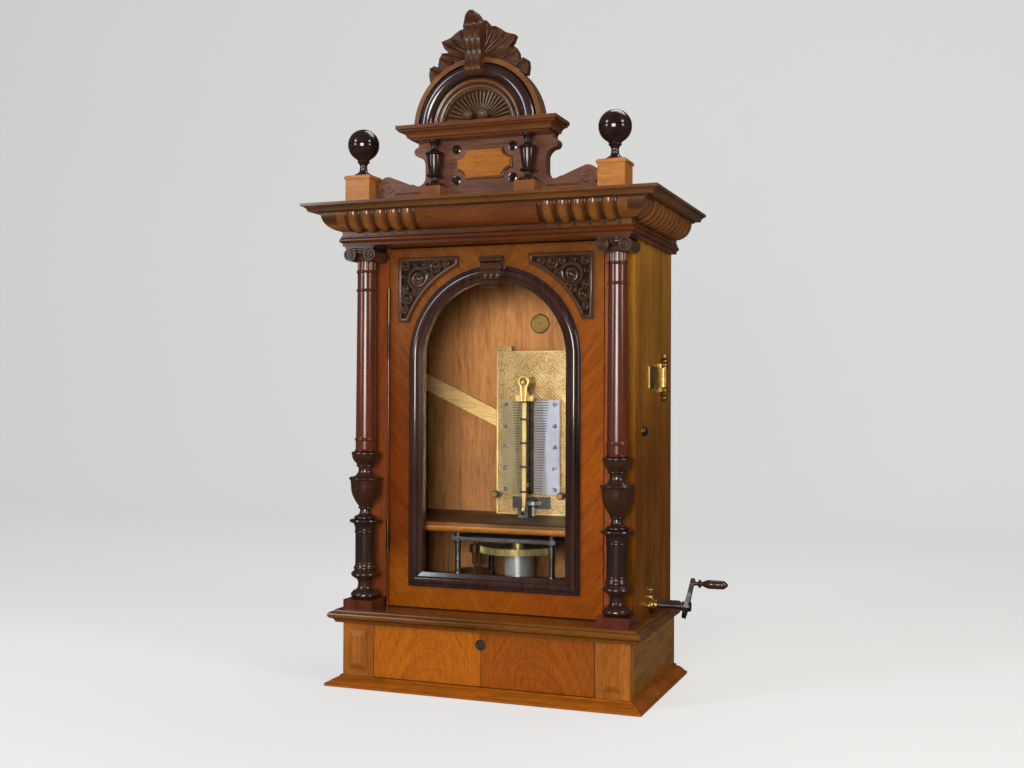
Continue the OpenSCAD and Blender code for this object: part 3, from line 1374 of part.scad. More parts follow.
// Brass fittings of the case: coin plate, coin slot, keyholes and crank bush
module case_brass() color(brass) {
    translate([0, in_back, floor_z + back_key_z]) key_plate(back_key_r, 3);
    x = case_w / 2;
    coin_mid = floor_z + coin_z;
    translate([x, 3, coin_mid - coin_plate_h / 2]) cube([1.5, coin_plate_l, coin_plate_h]);
    translate([x, 3 + coin_plate_l + 22, coin_mid]) {
        difference() {
            union() {
                translate([0, -16, -coin_cast_h * 0.3]) cube([3, 32, coin_cast_h * 0.6]);
                intersection() {
                    translate([3, 0, -coin_cast_h / 2]) turned(concat([[0, 0]],
                        bead(0, 9, 2, 4), bead(9, 15, 4, 5), bead(15, 21, 6, 2),
                        [[7, 24], [7, coin_cast_h - 24]], bead(coin_cast_h - 21, coin_cast_h - 15, 6, 2),
                        bead(coin_cast_h - 15, coin_cast_h - 9, 4, 5),
                        bead(coin_cast_h - 9, coin_cast_h, 2, 4),
                        [[0, coin_cast_h]]));
                    translate([0, -50, -coin_cast_h]) cube([50, 100, 2 * coin_cast_h]);
                }
            }
            translate([-1, -1.3, -14]) cube([30, 2.6, 28]);
        }
    }
    translate([x, case_y + side_key_y, floor_z + side_key_z]) rotate(90) key_plate(key_r, 2);
    translate([x, motor_y, shaft_z]) difference() {
        union() {
            along_x(0, 4) {
                circle(14);
                translate([0, 12]) circle(9);
                translate([0, 24]) circle(5);
                for (a = [-1, 1]) translate([a * 12, 0]) circle(7);
            }
            rotate([0, 90, 0]) turned([[0, 0], [12, 0], [12, 6], [9, 8], [9, 12], [0, 12]]);
        }
        translate([-1, 0, 0]) rotate([0, 90, 0]) cylinder(r = crank_r + run, h = 20);
    }
}

plinth_moulding();
base_boards();
base_stiles();
drawer_front();
drawer_box();
drawer_lock();
waist_board();
case_sides();
case_back();
corner_posts();
movement_shelf();
door_frame();
door_head();
arch_moulding();
door_glass();
spandrels();
door_keystone();
door_hinge_leaves();
case_hinge_leaves();
columns();
capitals();
bed_moulding();
gadroon_frieze();
crown_moulding();
pedestals();
finials();
gallery_board();
gallery_plaque();
plaque_buttons();
balusters();
gallery_cornice();
pediment_arch();
shell();
leaf_crest();
pediment_console();
bedplate();
bed_posts();
combs();
comb_screws();
star_wheels();
star_bearings();
disc_spindle();
pressure_bar();
bar_rollers();
bar_hinge_block();
guide_roller_left();
guide_roller_right();
guide_studs();
drive_bracket();
drive_shaft();
motor_plates();
motor_pillars();
great_wheel();
second_wheel();
governor_fan();
barrel_arbor();
winding_crank();
crank_grip();
case_brass();
coin_chute();
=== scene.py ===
import math

import bmesh
import bpy
from mathutils import Matrix, Vector


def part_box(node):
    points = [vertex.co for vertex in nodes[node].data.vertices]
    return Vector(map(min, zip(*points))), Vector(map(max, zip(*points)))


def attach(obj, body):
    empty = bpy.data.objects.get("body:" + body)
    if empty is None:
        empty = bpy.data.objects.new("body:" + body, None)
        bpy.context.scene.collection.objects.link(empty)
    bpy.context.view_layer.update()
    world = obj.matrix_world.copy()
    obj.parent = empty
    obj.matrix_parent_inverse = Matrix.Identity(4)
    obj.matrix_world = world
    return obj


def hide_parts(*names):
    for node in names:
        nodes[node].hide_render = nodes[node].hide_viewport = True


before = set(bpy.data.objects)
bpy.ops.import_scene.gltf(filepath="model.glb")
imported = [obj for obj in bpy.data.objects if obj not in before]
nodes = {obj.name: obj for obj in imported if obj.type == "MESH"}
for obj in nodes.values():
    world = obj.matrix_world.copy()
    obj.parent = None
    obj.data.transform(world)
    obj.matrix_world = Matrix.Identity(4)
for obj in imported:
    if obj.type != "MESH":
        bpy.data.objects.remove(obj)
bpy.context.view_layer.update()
scene = bpy.context.scene
scene.view_settings.view_transform = "Standard"

# Studio. A pale paper sweep: floor in front, bent up into a backdrop behind, lit by soft
# boxes at left, right and front and a weaker one above, so polished wood shows highlights.
bpy.ops.object.select_all(action="DESELECT")
sweep_half, sweep_high, sweep_bend, sweep_mid = 5.0, 4.0, 1.2, -1.5
bpy.ops.mesh.primitive_plane_add(size=2 * sweep_half, location=(0, sweep_mid, -0.0005))
floor = bpy.context.object
floor.name = "studio_floor"
bpy.ops.object.transform_apply(location=True, rotation=True, scale=True)


def pick(test):
    """In edit mode, selects the vertices whose place passes the test."""
    mesh = bmesh.from_edit_mesh(bpy.context.edit_object.data)
    for e in list(mesh.faces) + list(mesh.edges) + list(mesh.verts):
        e.select_set(False)
    for v in mesh.verts:
        v.select_set(bool(test(v.co)))
    mesh.select_flush(True)
    bmesh.update_edit_mesh(bpy.context.edit_object.data)


def reckon(tree, kind, a, b=None):
    """One step of arithmetic between sockets and plain numbers."""
    n = tree.nodes.new("ShaderNodeMath")
    n.operation = kind
    for socket, value in zip(n.inputs, (a, b)):
        if isinstance(value, float):
            socket.default_value = value
        elif value is not None:
            tree.links.new(value, socket)
    return n.outputs[0]


def scaled(tree, value, span, to=(0.0, 1.0)):
    """A value's span carried over to another span, and held at its ends."""
    n = tree.nodes.new("ShaderNodeMapRange")
    for name, number in zip(("From Min", "From Max", "To Min", "To Max"), (*span, *to)):
        n.inputs[name].default_value = number
    tree.links.new(value, n.inputs["Value"])
    return n.outputs["Result"]


bpy.ops.object.mode_set(mode="EDIT")
back_edge = sweep_mid + sweep_half
pick(lambda c: c.y > back_edge - 0.01)
bpy.ops.mesh.extrude_region_move(TRANSFORM_OT_translate={"value": (0, 0, sweep_high)})
pick(lambda c: c.y > back_edge - 0.01 and c.z < 0.01)
bpy.ops.mesh.bevel(offset=sweep_bend, segments=12, affect="EDGES")
bpy.ops.mesh.select_all(action="SELECT")
bpy.ops.mesh.normals_make_consistent(inside=False)
bpy.ops.object.mode_set(mode="OBJECT")
bpy.ops.object.shade_smooth()
paper = bpy.data.materials.new("studio_paper")
paper.use_nodes = True
paper_nodes, paper_links = paper.node_tree.nodes, paper.node_tree.links
lit_paper = paper_nodes["Principled BSDF"]
lit_paper.inputs["Base Color"].default_value = (0.80, 0.80, 0.79, 1)
lit_paper.inputs["Roughness"].default_value = 0.9
pale_paper = paper_nodes.new("ShaderNodeEmission")
pale_paper.inputs["Color"].default_value = (0.86, 0.86, 0.85, 1)
dim_paper = paper_nodes.new("ShaderNodeBsdfDiffuse")
dim_paper.inputs["Color"].default_value = (0.10, 0.095, 0.085, 1)
paper_rays = paper_nodes.new("ShaderNodeLightPath")
paper_share = 0.62
paper_seen = paper_nodes.new("ShaderNodeMixShader")
paper_links.new(reckon(paper.node_tree, "MULTIPLY", paper_rays.outputs["Is Camera Ray"], paper_share),
                paper_seen.inputs["Fac"])
paper_links.new(lit_paper.outputs["BSDF"], paper_seen.inputs[1])
paper_links.new(pale_paper.outputs["Emission"], paper_seen.inputs[2])
paper_mirrored = paper_nodes.new("ShaderNodeMixShader")
paper_links.new(paper_rays.outputs["Is Glossy Ray"], paper_mirrored.inputs["Fac"])
paper_links.new(paper_seen.outputs["Shader"], paper_mirrored.inputs[1])
paper_links.new(dim_paper.outputs["BSDF"], paper_mirrored.inputs[2])
paper_links.new(paper_mirrored.outputs["Shader"], paper_nodes["Material Output"].inputs["Surface"])
floor.data.materials.append(paper)

surround = bpy.data.worlds.new("studio_surround")
scene.world = surround
surround.use_nodes = True
sky, sky_rays = surround.node_tree.nodes["Background"], surround.node_tree.nodes.new("ShaderNodeLightPath")
sky.inputs["Color"].default_value = (0.80, 0.81, 0.82, 1)
surround.node_tree.links.new(
    scaled(surround.node_tree, sky_rays.outputs["Is Camera Ray"], (0.0, 1.0), (0.14, 0.80)), sky.inputs["Strength"])


def soft_box(name, place, target, width, height, watts, tint):
    """A rectangular lamp at a place, turned to face the target."""
    lamp = bpy.data.lights.new(name, "AREA")
    lamp.shape = "RECTANGLE"
    lamp.size, lamp.size_y = width, height
    lamp.energy = watts
    lamp.color = tint
    holder = bpy.data.objects.new(name, lamp)
    scene.collection.objects.link(holder)
    holder.location = place
    holder.rotation_euler = (Vector(target) - Vector(place)).to_track_quat("-Z", "Y").to_euler()


# name, place, what it faces, width, height, watts, tint
soft_box("key_box", (-1.7, -2.1, 1.5), (0, 0, 0.6), 0.6, 1.7, 46, (0.78, 0.89, 1.0))
soft_box("fill_box", (2.3, -0.9, 1.5), (0.1, 0, 0.5), 0.5, 1.5, 34, (1.0, 0.96, 0.88))
soft_box("front_box", (0.45, -2.7, 0.75), (0, 0, 0.5), 1.0, 0.7, 58, (1.0, 0.96, 0.90))
soft_box("top_box", (0.3, 0.9, 2.6), (0, 0, 0.8), 1.6, 1.0, 18, (1.0, 1.0, 1.0))

camera_data = bpy.data.cameras.new("photo_camera")
camera_data.lens = 43.26
camera_data.sensor_width = 36.0
camera = bpy.data.objects.new("photo_camera", camera_data)
scene.collection.objects.link(camera)
camera.location = (0.7396, -1.9499, 0.4811)
camera.rotation_euler = (math.radians(90.505), math.radians(-0.23), math.radians(20.729))
scene.camera = camera

# Plinth and base box. Solid walnut moulding and stiles, French polished to a warm
# orange brown; the sides and back are browner walnut boards. All glued and pinned.


def mixed(tree, factor, a, b, kind="MIX"):
    """Two colours, each a socket or a plain (r, g, b), mixed or multiplied."""
    n = tree.nodes.new("ShaderNodeMix")
    n.data_type = "RGBA"
    n.blend_type = kind
    for name, value in (("Factor", factor), ("A", a), ("B", b)):
        if isinstance(value, tuple):
            n.inputs[name].default_value = (*value, 1)
        elif isinstance(value, float):
            n.inputs[name].default_value = value
        else:
            tree.links.new(value, n.inputs[name])
    return n.outputs["Result"]


def beyond(tree, axis, limit):
    """1 beyond the limit along an axis, or farther out than it from an (x, z) centre.
    A pair of limits blends from one to the other."""
    place = tree.nodes.new("ShaderNodeTexCoord").outputs["Object"]
    sharp = 0.00001
    if isinstance(axis, str):
        split = tree.nodes.new("ShaderNodeSeparateXYZ")
        tree.links.new(place, split.inputs[0])
        measure = split.outputs[axis]
    else:
        shift = tree.nodes.new("ShaderNodeMapping")
        shift.inputs["Location"].default_value = (-axis[0], 0, -axis[1])
        shift.inputs["Scale"].default_value = (1, 0, 1)
        reach = tree.nodes.new("ShaderNodeVectorMath")
        reach.operation = "LENGTH"
        tree.links.new(place, shift.inputs["Vector"])
        tree.links.new(shift.outputs[0], reach.inputs[0])
        measure = reach.outputs["Value"]
    return scaled(tree, measure, limit if isinstance(limit, tuple) else (limit - sharp, limit + sharp))


def in_zones(tree, tone, zones):
    """One colour, then another beyond each (axis, limit)."""
    colour = tree.nodes.new("ShaderNodeRGB").outputs[0]
    colour.default_value = (*tone, 1)
    for axis, limit, other in zones:
        colour = mixed(tree, beyond(tree, axis, limit), colour, other)
    return colour


def polished_wood(name, tone, along, spread=0.45, band=26.0, tilt=0.0, matched=False, crown=None,
                  pores=0.35, gloss=0.30, coat=0.15, zones=(), recess_shade=0.0, mirror=0.10):
    """Varnished wood: broad figure, fine pores along the grain and a glossy coat, with painted shade darkening its own
    hollows if wished.
    """
    m = bpy.data.materials.new(name)
    m.use_nodes = True
    t = m.node_tree
    skin = t.nodes["Principled BSDF"]
    place = t.nodes.new("ShaderNodeTexCoord").outputs["Object"]

    if matched:
        split = t.nodes.new("ShaderNodeSeparateXYZ")
        join = t.nodes.new("ShaderNodeCombineXYZ")
        t.links.new(place, split.inputs[0])
        x, z = reckon(t, "ABSOLUTE", split.outputs["X"]), split.outputs["Z"]
        if crown:
            beside = reckon(t, "SUBTRACT", x, crown[0])
            z = reckon(t, "ADD", z, reckon(t, "MULTIPLY", reckon(t, "MULTIPLY", beside, beside), crown[1]))
        t.links.new(x, join.inputs["X"])
        t.links.new(split.outputs["Y"], join.inputs["Y"])
        t.links.new(z, join.inputs["Z"])
        place = join.outputs[0]

    def stretched(run, cross, detail, rough, twist, way=along):
        turn = t.nodes.new("ShaderNodeMapping")
        turn.inputs["Rotation"].default_value = (0, math.radians(tilt), 0)
        shape = t.nodes.new("ShaderNodeMapping")
        shape.inputs["Scale"].default_value = [run if a == way else cross for a in "xyz"]
        grain = t.nodes.new("ShaderNodeTexNoise")
        grain.inputs["Scale"].default_value = 1.0
        grain.inputs["Detail"].default_value = detail
        grain.inputs["Roughness"].default_value = rough
        grain.inputs["Distortion"].default_value = twist
        t.links.new(place, turn.inputs["Vector"])
        t.links.new(turn.outputs[0], shape.inputs["Vector"])
        t.links.new(shape.outputs[0], grain.inputs["Vector"])
        return grain.outputs["Fac"]

    def ramp(value, stops):
        r = t.nodes.new("ShaderNodeValToRGB")
        while len(r.color_ramp.elements) < len(stops):
            r.color_ramp.elements.new(0.5)
        for e, (at, colour) in zip(r.color_ramp.elements, stops):
            e.position = at
            e.color = (*colour, 1)
        t.links.new(value, r.inputs["Fac"])
        return r.outputs["Color"]

    def times(a, b):
        return mixed(t, 1.0, a, b, "MULTIPLY")

    figure = stretched(band / 9, band, 7.0, 0.66, 1.2, "x" if crown else along)
    fibres = stretched(55.0, 1100.0, 3.0, 0.65, 0.3)
    mottle = stretched(5.0, 7.0, 3.0, 0.5, 0.6)
    dark = [(1 - spread) * (1 - 0.25 * spread * k) for k in range(3)]
    plain, light = (1, 1, 1), (1 + spread * 0.9,) * 3
    colour = times(in_zones(t, tone, zones),
                   ramp(figure, [(0.32, dark), (0.47, plain), (0.60, light), (0.74, plain)]))
    # Painted shade: ambient occlusion darkens the colour in the piece's own hollows and creases.
    if recess_shade:
        shade = t.nodes.new("ShaderNodeAmbientOcclusion")
        shade.samples = 8
        shade.only_local = True
        shade.inputs["Distance"].default_value = 0.012
        colour = times(colour, ramp(shade.outputs["AO"], [(0.50, (1 - recess_shade,) * 3), (0.96, plain)]))
    low = 1.0 - pores
    colour = times(colour, ramp(fibres, [(0.36, (low, low * 0.9, low * 0.8)), (0.56, plain)]))
    colour = times(colour, ramp(mottle, [(0.30, (0.80, 0.77, 0.74)), (0.62, plain)]))
    t.links.new(colour, skin.inputs["Base Color"])
    shine = ramp(mottle, [(0.30, (gloss * 1.35,) * 3), (0.70, (gloss * 0.8,) * 3)])
    t.links.new(shine, skin.inputs["Roughness"])
    dent = t.nodes.new("ShaderNodeBump")
    dent.inputs["Strength"].default_value = 0.08
    dent.inputs["Distance"].default_value = 0.0005
    t.links.new(fibres, dent.inputs["Height"])
    t.links.new(dent.outputs["Normal"], skin.inputs["Normal"])
    skin.inputs["Specular IOR Level"].default_value = mirror
    skin.inputs["Coat Weight"].default_value = coat
    skin.inputs["Coat Roughness"].default_value = 0.8 * gloss
    return m


def dress(material, *names):
    """Gives CAD nodes a finish."""
    for n in names:
        nodes[n].data.materials.clear()
        nodes[n].data.materials.append(material)


walnut_rail = polished_wood("walnut_lengthwise", (0.252, 0.070, 0.0044), "x", spread=0.3)
walnut_upright = polished_wood("walnut_upright", (0.272, 0.086, 0.0110), "z", spread=0.25, band=40)
base_walnut = polished_wood("base_side_walnut", (0.206, 0.082, 0.0085), "y", spread=0.3, gloss=0.26, coat=0.3)
dress(walnut_rail, "plinth_moulding")
dress(walnut_upright, "base_stiles")
dress(base_walnut, "base_boards")

# Drawer. A book-matched veneer front on an oak box that slides on two runners, with
# a small round iron lock plate let into its upper edge.
joint_half = 0.0004
drawer_veneer = polished_wood("drawer_veneer", (0.323, 0.085, 0.0030), "z", spread=0.17, band=60, matched=True,
                              crown=(0.085, 16.0), zones=[("X", -joint_half, (0.08, 0.025, 0.003)),
                                                          ("X", joint_half, (0.225, 0.053, 0.0026))])
pale_oak = polished_wood("plain_oak", (0.42, 0.25, 0.10), "y", spread=0.3, band=40, gloss=0.55, coat=0.0)
dress(drawer_veneer, "drawer_front")
dress(pale_oak, "drawer_box")


def worn_metal(name, base, bright, rough, metallic=1.0, zones=(), hammer=0.0):
    """Metal with a cloudy tarnish, fine handling marks and slightly uneven gloss; hammered if wished, each dent then
    painted lighter in its middle and darker at its rim.
    """
    m = bpy.data.materials.new(name)
    m.use_nodes = True
    t = m.node_tree
    skin = t.nodes["Principled BSDF"]
    skin.inputs["Metallic"].default_value = metallic
    place = t.nodes.new("ShaderNodeTexCoord").outputs["Object"]

    def speckle(scale, detail):
        n = t.nodes.new("ShaderNodeTexNoise")
        n.inputs["Scale"].default_value = scale
        n.inputs["Detail"].default_value = detail
        t.links.new(place, n.inputs["Vector"])
        return n.outputs["Fac"]

    def dented(height, strength, deep):
        n = t.nodes.new("ShaderNodeBump")
        n.inputs["Strength"].default_value = strength
        n.inputs["Distance"].default_value = deep
        t.links.new(height, n.inputs["Height"])
        t.links.new(n.outputs["Normal"], skin.inputs["Normal"])
        return n

    cloud, marks = speckle(38.0, 5.0), speckle(240.0, 3.0)
    tone = mixed(t, scaled(t, cloud, (0.33, 0.66)),
                 in_zones(t, base, [(axis, limit, low) for axis, limit, low, high in zones]),
                 in_zones(t, bright, [(axis, limit, high) for axis, limit, low, high in zones]))
    t.links.new(scaled(t, marks, (0.0, 1.0), (rough * 0.75, rough * 1.35)), skin.inputs["Roughness"])
    dent = dented(marks, 0.02, 0.0006)
    if hammer:
        lattice = t.nodes.new("ShaderNodeMapping")
        lattice.inputs["Scale"].default_value = (1, 0, 1)
        lattice.inputs["Rotation"].default_value = (0, math.pi / 4, 0)
        blows = t.nodes.new("ShaderNodeTexVoronoi")
        blows.feature = "SMOOTH_F1"
        blows.inputs["Scale"].default_value = 235.0
        blows.inputs["Randomness"].default_value = 0.3
        blows.inputs["Smoothness"].default_value = 0.35
        t.links.new(place, lattice.inputs["Vector"])
        t.links.new(lattice.outputs[0], blows.inputs["Vector"])
        dimple = dented(blows.outputs["Distance"], hammer, 0.0010)
        dimple.invert = True
        t.links.new(dent.outputs["Normal"], dimple.inputs["Normal"])
        # Painted shade and highlight: each dent's colour is lighter at its middle and darker towards its rim.
        tone = mixed(t, 1.0, tone, scaled(t, blows.outputs["Distance"], (0.25, 0.72), (1.25, 0.30)), "MULTIPLY")
    t.links.new(tone, skin.inputs["Base Color"])
    return m


black_iron = worn_metal("black_iron", (0.035, 0.032, 0.032), (0.085, 0.080, 0.080), 0.42)
dress(black_iron, "drawer_lock")

# Waist board and case. Walnut boards, glued and screwed, with an upright grain on the
# sides; the inside is a browner, less glossy walnut, and the coin chute is oak.
waist_walnut = polished_wood("waist_walnut", (0.110, 0.038, 0.0053), "x", spread=0.35, gloss=0.22, coat=0.4)
# Painted reflection: the sides' colour lightens and yellows towards the top.
side_walnut = polished_wood("side_walnut", (0.125, 0.040, 0.0025), "z", spread=0.35, band=34, gloss=0.26, coat=0.15,
                            mirror=0.03, zones=[("Z", (0.36, 0.74), (0.290, 0.130, 0.0150))])
# Painted light: the inside's colour lightens towards the top.
inner_walnut = polished_wood("inner_walnut", (0.300, 0.136, 0.050), "z", spread=0.28, band=70, pores=0.3, gloss=0.5,
                             coat=0.0, zones=[("Z", (0.35, 0.60), (0.420, 0.190, 0.065))])
chute_oak = polished_wood("chute_oak", (0.62, 0.42, 0.17), "x", spread=0.2, band=60, gloss=0.5, coat=0.0)
shelf_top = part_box("movement_shelf")[1][2]
fillet, dark_tone = 0.0025, (0.030, 0.013, 0.006)
shelf_walnut = polished_wood("shelf_walnut", (0.230, 0.085, 0.012), "x", gloss=0.4, coat=0.1, zones=[
    ("Z", shelf_top - 3 * fillet, dark_tone), ("Z", shelf_top - 2 * fillet, (0.110, 0.045, 0.012)),
    ("Z", shelf_top - fillet, dark_tone)])
post_walnut = polished_wood("post_walnut", (0.205, 0.049, 0.0120), "z", spread=0.3, band=34)
dress(waist_walnut, "waist_board")
dress(side_walnut, "case_sides")
dress(post_walnut, "corner_posts")
dress(inner_walnut, "case_back")
dress(shelf_walnut, "movement_shelf")
dress(chute_oak, "coin_chute")

# Door. The frame is veneered on the slant, mirrored about the middle, round a dark
# moulded arch that holds the glass. It hangs on two hinges at the left.
# Tone zones: darker upwards from 19-24 cm, blending lighter from left to right across the middle, and darker up the
# head above 48 cm as painted shade from the cornice.
door_veneer = polished_wood("door_veneer", (0.232, 0.060, 0.0008), "z", spread=0.24, band=60, tilt=-40, matched=True,
                            mirror=0.04, zones=[("Z", (0.19, 0.24), (0.124, 0.024, 0.0012)),
                                                ("X", (-0.10, 0.10), (0.230, 0.051, 0.0014)),
                                                ("Z", (0.48, 0.68), (0.150, 0.047, 0.0058))])
dress(door_veneer, "door_frame", "door_head")
arch_wood = polished_wood("stained_arch", (0.030, 0.0125, 0.0100), "z", band=30, pores=0.2, gloss=0.12, coat=0.85,
                          recess_shade=0.75)
dress(arch_wood, "arch_moulding")

window = bpy.data.materials.new("window_glass")
window.use_nodes = True
glass_nodes, glass_links = window.node_tree.nodes, window.node_tree.links
pane = glass_nodes["Principled BSDF"]
pane.inputs["Base Color"].default_value = (0.97, 0.98, 0.97, 1)
pane.inputs["Transmission Weight"].default_value = 1.0
pane.inputs["IOR"].default_value = 1.1
wave = glass_nodes.new("ShaderNodeTexNoise")
wave.inputs["Scale"].default_value = 9.0
glass_links.new(glass_nodes.new("ShaderNodeTexCoord").outputs["Object"], wave.inputs["Vector"])
glass_links.new(scaled(window.node_tree, wave.outputs["Fac"], (0.0, 1.0), (0.0, 0.05)), pane.inputs["Roughness"])
clear = glass_nodes.new("ShaderNodeBsdfTransparent")
pane_rays = glass_nodes.new("ShaderNodeLightPath")
pane_pick = glass_nodes.new("ShaderNodeMixShader")
glass_links.new(pane_rays.outputs["Is Shadow Ray"], pane_pick.inputs["Fac"])
glass_links.new(pane.outputs["BSDF"], pane_pick.inputs[1])
glass_links.new(clear.outputs["BSDF"], pane_pick.inputs[2])
glass_links.new(pane_pick.outputs["Shader"], glass_nodes["Material Output"].inputs["Surface"])
dress(window, "door_glass")

# Spandrels. Walnut fretwork pinned to the door and stained almost black; the scrolls
# are rounded over with a gouge and each winds in to a small eye.
carved_wood = polished_wood("stained_carving", (0.040, 0.0165, 0.0070), "x", band=34, pores=0.2, gloss=0.18, coat=0.55,
                            recess_shade=0.75)
dress(carved_wood, "spandrels")


def finish_piece(piece, name, material, body):
    """Outward normals, soft edges, a finish, and the body that carries the piece."""
    bpy.ops.object.select_all(action="DESELECT")
    piece.select_set(True)
    bpy.context.view_layer.objects.active = piece
    bpy.ops.object.mode_set(mode="EDIT")
    bpy.ops.mesh.select_all(action="SELECT")
    bpy.ops.mesh.normals_make_consistent(inside=False)
    bpy.ops.object.mode_set(mode="OBJECT")
    bpy.ops.object.shade_smooth_by_angle(angle=math.radians(50))
    piece.name = name
    piece.data.materials.clear()
    piece.data.materials.append(material)
    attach(piece, body)


def set_copy(pattern, place, size, turn, other_side):
    """A copy of a carved pattern with its own mesh, turned in the front plane and set in place."""
    piece = pattern.copy()
    piece.data = pattern.data.copy()
    scene.collection.objects.link(piece)
    m = Matrix.Translation(place) @ Matrix.Rotation(turn, 4, "Y") @ Matrix.Diagonal((*size, 1))
    if other_side:
        m = Matrix.Diagonal((-1, 1, 1, 1)) @ m
    piece.data.transform(m)
    return piece


def joined(pieces, pattern=None):
    """Joins the pieces into one, and puts away the pattern they were copied from."""
    bpy.ops.object.select_all(action="DESELECT")
    for part in pieces:
        part.select_set(True)
    bpy.context.view_layer.objects.active = pieces[0]
    bpy.ops.object.join()
    if pattern:
        bpy.data.objects.remove(pattern)
    return bpy.context.object


def carve_scroll(turns, thick, end_share, stations=20):
    """A round scroll of radius 1 in the front plane, wound inwards to a ball eye."""
    bpy.ops.object.select_all(action="DESELECT")
    bpy.ops.mesh.primitive_circle_add(vertices=8, radius=thick, fill_type="NGON", location=(1 - thick, 0, 0))
    bpy.ops.object.transform_apply(location=True, rotation=True, scale=True)
    steps = int(turns * stations)
    shrink = end_share ** (1 / steps)
    bpy.ops.object.mode_set(mode="EDIT")
    bpy.ops.mesh.select_all(action="SELECT")
    for k in range(steps):
        bpy.ops.mesh.extrude_region_move(TRANSFORM_OT_translate={"value": (0, 0, 0)})
        bpy.ops.transform.rotate(value=math.radians(360 / stations), orient_axis="Y", center_override=(0, 0, 0))
        bpy.ops.transform.resize(value=(shrink, shrink, shrink), center_override=(0, 0, 0))
    bpy.ops.mesh.primitive_uv_sphere_add(segments=12, ring_count=8, radius=end_share * 0.8, location=(0, 0, 0))
    bpy.ops.transform.resize(value=(1, 0.8, 1), center_override=(0, 0, 0))
    bpy.ops.object.mode_set(mode="OBJECT")
    return bpy.context.object


scroll = carve_scroll(turns=1.5, thick=0.20, end_share=0.30)
fret_low, fret_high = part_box("spandrels")
corner_x, corner_z, fret_y = fret_high[0], fret_high[2], fret_low[1]
deepest = 12
fret_scrolls = (  # in from the corner, down from it, radius, turn; in millimetres and degrees
    (37, 36, 20, 200), (68, 16.5, 11, 80), (16.5, 68, 11, 320), (87, 13, 7, 250), (13, 87, 7, 150),
    (14, 14, 8, 40), (52, 13, 7, 30), (13, 52, 7, 300), (59, 33, 7, 120), (33, 59, 7, 280), (32, 12, 6, 160),
    (12, 32, 6, 20), (48, 50, 7, 90))
carving = []
for other in (False, True):
    for x_in, z_in, r, turn in fret_scrolls:
        place = (corner_x - x_in / 1000, fret_y, corner_z - z_in / 1000)
        size = (r / 1000, min(r, deepest) / 1000, r / 1000)
        carving.append(set_copy(scroll, place, size, math.radians(turn), other))
finish_piece(joined(carving, scroll), "spandrel_scrolls", carved_wood, "door")


def lay_bead(lines, thick, flat, front_y, closed=False):
    """Rounded beads along lines of (x, z, share of the thickness), flattened towards the front plane."""
    run = bpy.data.curves.new("bead_line", "CURVE")
    run.dimensions = "3D"
    run.bevel_depth = thick
    run.bevel_resolution = 3
    run.use_fill_caps = True
    for line in lines:
        spline = run.splines.new("POLY")
        spline.points.add(len(line) - 1)
        spline.use_cyclic_u = closed
        for point, (x, z, share) in zip(spline.points, line):
            point.co = (x, 0, z, 1)
            point.radius = share
    piece = bpy.data.objects.new("bead", run)
    scene.collection.objects.link(piece)
    bpy.ops.object.select_all(action="DESELECT")
    piece.select_set(True)
    bpy.context.view_layer.objects.active = piece
    bpy.ops.object.convert(target="MESH")
    bpy.ops.object.mode_set(mode="EDIT")
    bpy.ops.mesh.select_all(action="SELECT")
    bpy.ops.transform.resize(value=(1, flat, 1), center_override=(0, 0, 0))
    bpy.ops.transform.translate(value=(0, front_y, 0))
    bpy.ops.object.mode_set(mode="OBJECT")
    return bpy.context.object


# Spandrel mouldings. A dark walnut bead round each fretted triangle, its long side
# struck to the same centre as the arch; mitred, glued and pinned to the fret.
frame_half, arch_mid, sweep_r, sweep_steps = 0.0035, 0.542, 0.167, 16
top_line, foot_line = corner_z - frame_half, fret_low[2] + frame_half
outer_line, end_line = corner_x - frame_half, 0.0655
start_a = math.acos(end_line / sweep_r)
stop_a = math.asin((foot_line - arch_mid) / sweep_r)
edge_line = [(end_line, top_line), (0.5 * (end_line + outer_line), top_line), (outer_line, top_line),
             (outer_line, 0.5 * (top_line + foot_line)), (outer_line, foot_line)]
for k in range(sweep_steps + 1):
    a = stop_a + (start_a - stop_a) * k / sweep_steps
    edge_line.append((sweep_r * math.cos(a), arch_mid + sweep_r * math.sin(a)))
frames = [[(side * x, z, 1.0) for x, z in edge_line] for side in (-1, 1)]
moulding_wood = polished_wood("moulding_walnut", (0.070, 0.027, 0.009), "x", spread=0.2, gloss=0.24, coat=0.4)
frame_bead = lay_bead(frames, thick=0.0029, flat=0.6, front_y=fret_y, closed=True)
finish_piece(frame_bead, "spandrel_mouldings", moulding_wood, "door")

